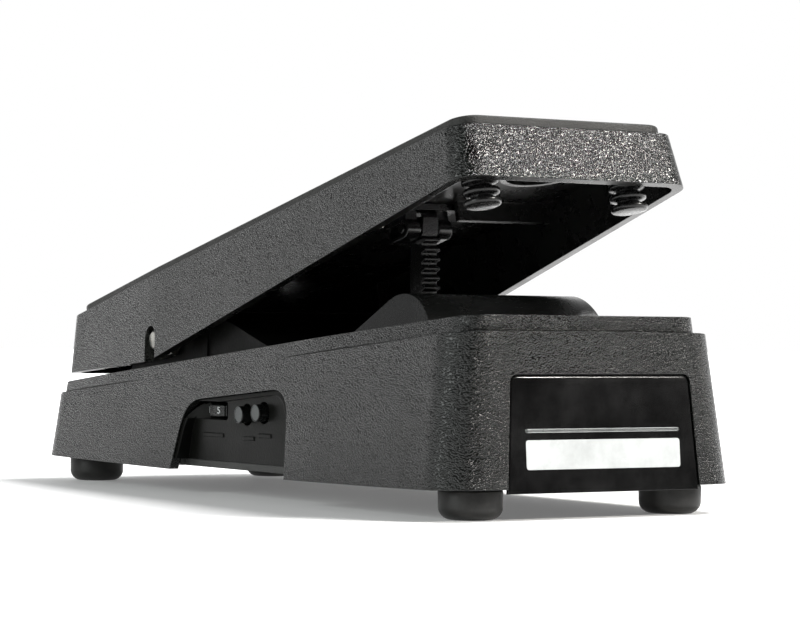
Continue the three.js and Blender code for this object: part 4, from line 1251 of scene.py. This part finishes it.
# ---------------------------------------------------------------- bottom cover
def bottom_cover():
    """The flat underside, with eased edges, a shallow blank panel and foot screws' clearance holes."""
    half_x, half_y = HALF_X - WALL - 0.5, HALF_Y - WALL - 0.5
    corner = BASE_CORNER - WALL
    low, high, ease = FOOT_TOP + 0.2, COVER_TOP, 0.5
    rings = []
    for inset, z in ((ease, low), (0, low + ease), (0, high)):
        ends = (-half_y + inset, half_y - inset)
        outline = plan_outline(lambda y: half_x - inset, *ends, (corner, corner), samples=4)
        rings.append([(x, y, z) for x, y in outline])
    cover = loft(rings)
    join(cover, *rods_z(3.2, BOARD_SCREWS, COVER_TOP - 0.3, BOARD_TOP - 1.7))

    def sunk(half_x, y0, y1, depth, corner, steps):
        outline = rounded([(-half_x, y0), (half_x, y0), (half_x, y1), (-half_x, y1)], [corner] * 4, steps)
        return prism(outline, lambda a, b, t: (a, b, low - 1 + (1 + depth) * t))

    cut(cover, profile_x(recess_outline(0), -SPAN, PANEL_X),
        sunk(28, -24, 24, 0.4, 3, 6),
        *[sunk(38, y - 0.6, y + 0.6, 0.5, 0.6, 4) for y in (-72, -66, -60, 60, 66, 72)],
        *rods_z(1.5, FEET, 0, 20),
        *rods_z(1.4, BOARD_SCREWS, COVER_TOP + 0.6, BOARD_TOP))
    finish(crisp(cover), "bottom_cover_moulded", COVER, "base", "cover_plastic", "bottom_cover")


bottom_cover()

# ---------------------------------------------------------------- carried-over CAD nodes
CAD_LOOKS = {
    "smooth_plastic": SATIN,
    "moulded_shell": GRAINED,
    "cover_plastic": COVER,
    "rubber": RUBBER,
    "steel": STEEL,
    "black_nylon": BLACK_NYLON,
    "white_nylon": WHITE_NYLON,
    "board_green": BOARD,
    "brass": BRASS,
    "wire_red": WIRE,
}
for part in frame["record"]["subparts"]:
    mesh = frame["nodes"][part["node"]].data
    mesh.materials.clear()
    mesh.materials.append(CAD_LOOKS[part["material_slot"]])


# ---------------------------------------------------------------- floor, light and camera
CAMERA_AT = (-0.46534, -0.75586, 0.05026)
LENS = 129.05
YAW, PITCH_UP, ROLL = (math.radians(a) for a in (-32.389, 0.2546, 0.4696))
FORWARD = Matrix.Rotation(YAW, 3, "Z") @ Vector((0, math.cos(PITCH_UP), math.sin(PITCH_UP)))


def floor():
    """Pale paper that glows faintly, more so behind and to the right, as if lit from there."""
    half = 6.0
    mesh = bpy.data.meshes.new("floor")
    corners = [(-half, -half, 0), (half, -half, 0), (half, half, 0), (-half, half, 0)]
    mesh.from_pydata(corners, [], [(0, 1, 2, 3)])
    sheet = linked("floor", mesh)
    material, tree, shader = new_material("floor_paper")
    tone = mix_colour(tree, noise(tree, 60, detail=4.0), (0.86, 0.86, 0.86), (0.9, 0.9, 0.9))
    tree.links.new(tone, shader.inputs["Base Color"])
    shader.inputs["Roughness"].default_value = 0.7
    shader.inputs["Emission Color"].default_value = (1, 1, 1, 1)
    where = node(tree, "ShaderNodeTexCoord").outputs["Object"]
    behind = dot(tree, where, (0.9, 0.44, 0))
    tree.links.new(ramp(tree, behind, 0.06, 0.3, 0.14, 1.4), shader.inputs["Emission Strength"])
    sheet.data.materials.append(material)


def aim(data, name, at, target):
    light = linked(name, data)
    light.location = at
    light.rotation_euler = (Vector(target) - Vector(at)).to_track_quat("-Z", "Y").to_euler()


def area_light(name, at, target, size, power, colour=(1, 1, 1)):
    data = bpy.data.lights.new(name, "AREA")
    data.shape = "RECTANGLE"
    data.size, data.size_y = size
    data.energy = power
    data.color = colour
    aim(data, name, at, target)


def sun(name, at, strength, spread):
    data = bpy.data.lights.new(name, "SUN")
    data.energy = strength
    data.angle = math.radians(spread)
    aim(data, name, at, (0, 0, 0))


def studio_world(dark, bright):
    """White to the camera; to the object, a bright backdrop behind it and a dark room in front."""
    world = bpy.data.worlds.new("studio")
    world.use_nodes = True
    tree = world.node_tree
    background = tree.nodes["Background"]
    where = node(tree, "ShaderNodeTexCoord").outputs["Generated"]
    backdrop = ramp(tree, dot(tree, where, FORWARD), 0.3, 0.85, dark, bright)
    camera_ray = node(tree, "ShaderNodeLightPath").outputs["Is Camera Ray"]
    strength = node(tree, "ShaderNodeMix", {0: camera_ray, 2: backdrop, 3: 1.0}, data_type="FLOAT")
    tree.links.new(strength.outputs[0], background.inputs["Strength"])
    background.inputs["Color"].default_value = (1, 1, 1, 1)
    bpy.context.scene.world = world


def camera():
    """Low, facing the toe's left corner, turned by yaw, pitch and a slight roll."""
    level = Vector((math.cos(YAW), math.sin(YAW), 0))
    rise = level.cross(FORWARD)
    right = math.cos(ROLL) * level + math.sin(ROLL) * rise
    up = -math.sin(ROLL) * level + math.cos(ROLL) * rise
    data = bpy.data.cameras.new("camera")
    data.sensor_width = 36
    data.lens = LENS
    data.clip_start = 0.01
    made = linked("camera", data)
    made.matrix_world = Matrix.Translation(CAMERA_AT) @ Matrix((
        (right.x, up.x, -FORWARD.x, 0),
        (right.y, up.y, -FORWARD.y, 0),
        (right.z, up.z, -FORWARD.z, 0),
        (0, 0, 0, 1)))
    bpy.context.scene.camera = made


floor()
studio_world(0.05, 1.2)
camera()
bpy.context.scene.view_settings.view_transform = "Standard"
sun("key", (0.4, -0.2, 0.9), 3.3, 16)
area_light("left_box", (-1.2, -0.1, 0.5), (0, 0, 0.04), (0.7, 0.7), 8, (0.95, 1.0, 0.98))
area_light("toe_glint", (0.62, -0.8, 0.62), (0, -0.12, 0.08), (0.14, 0.14), 10, (1.0, 0.97, 0.92))
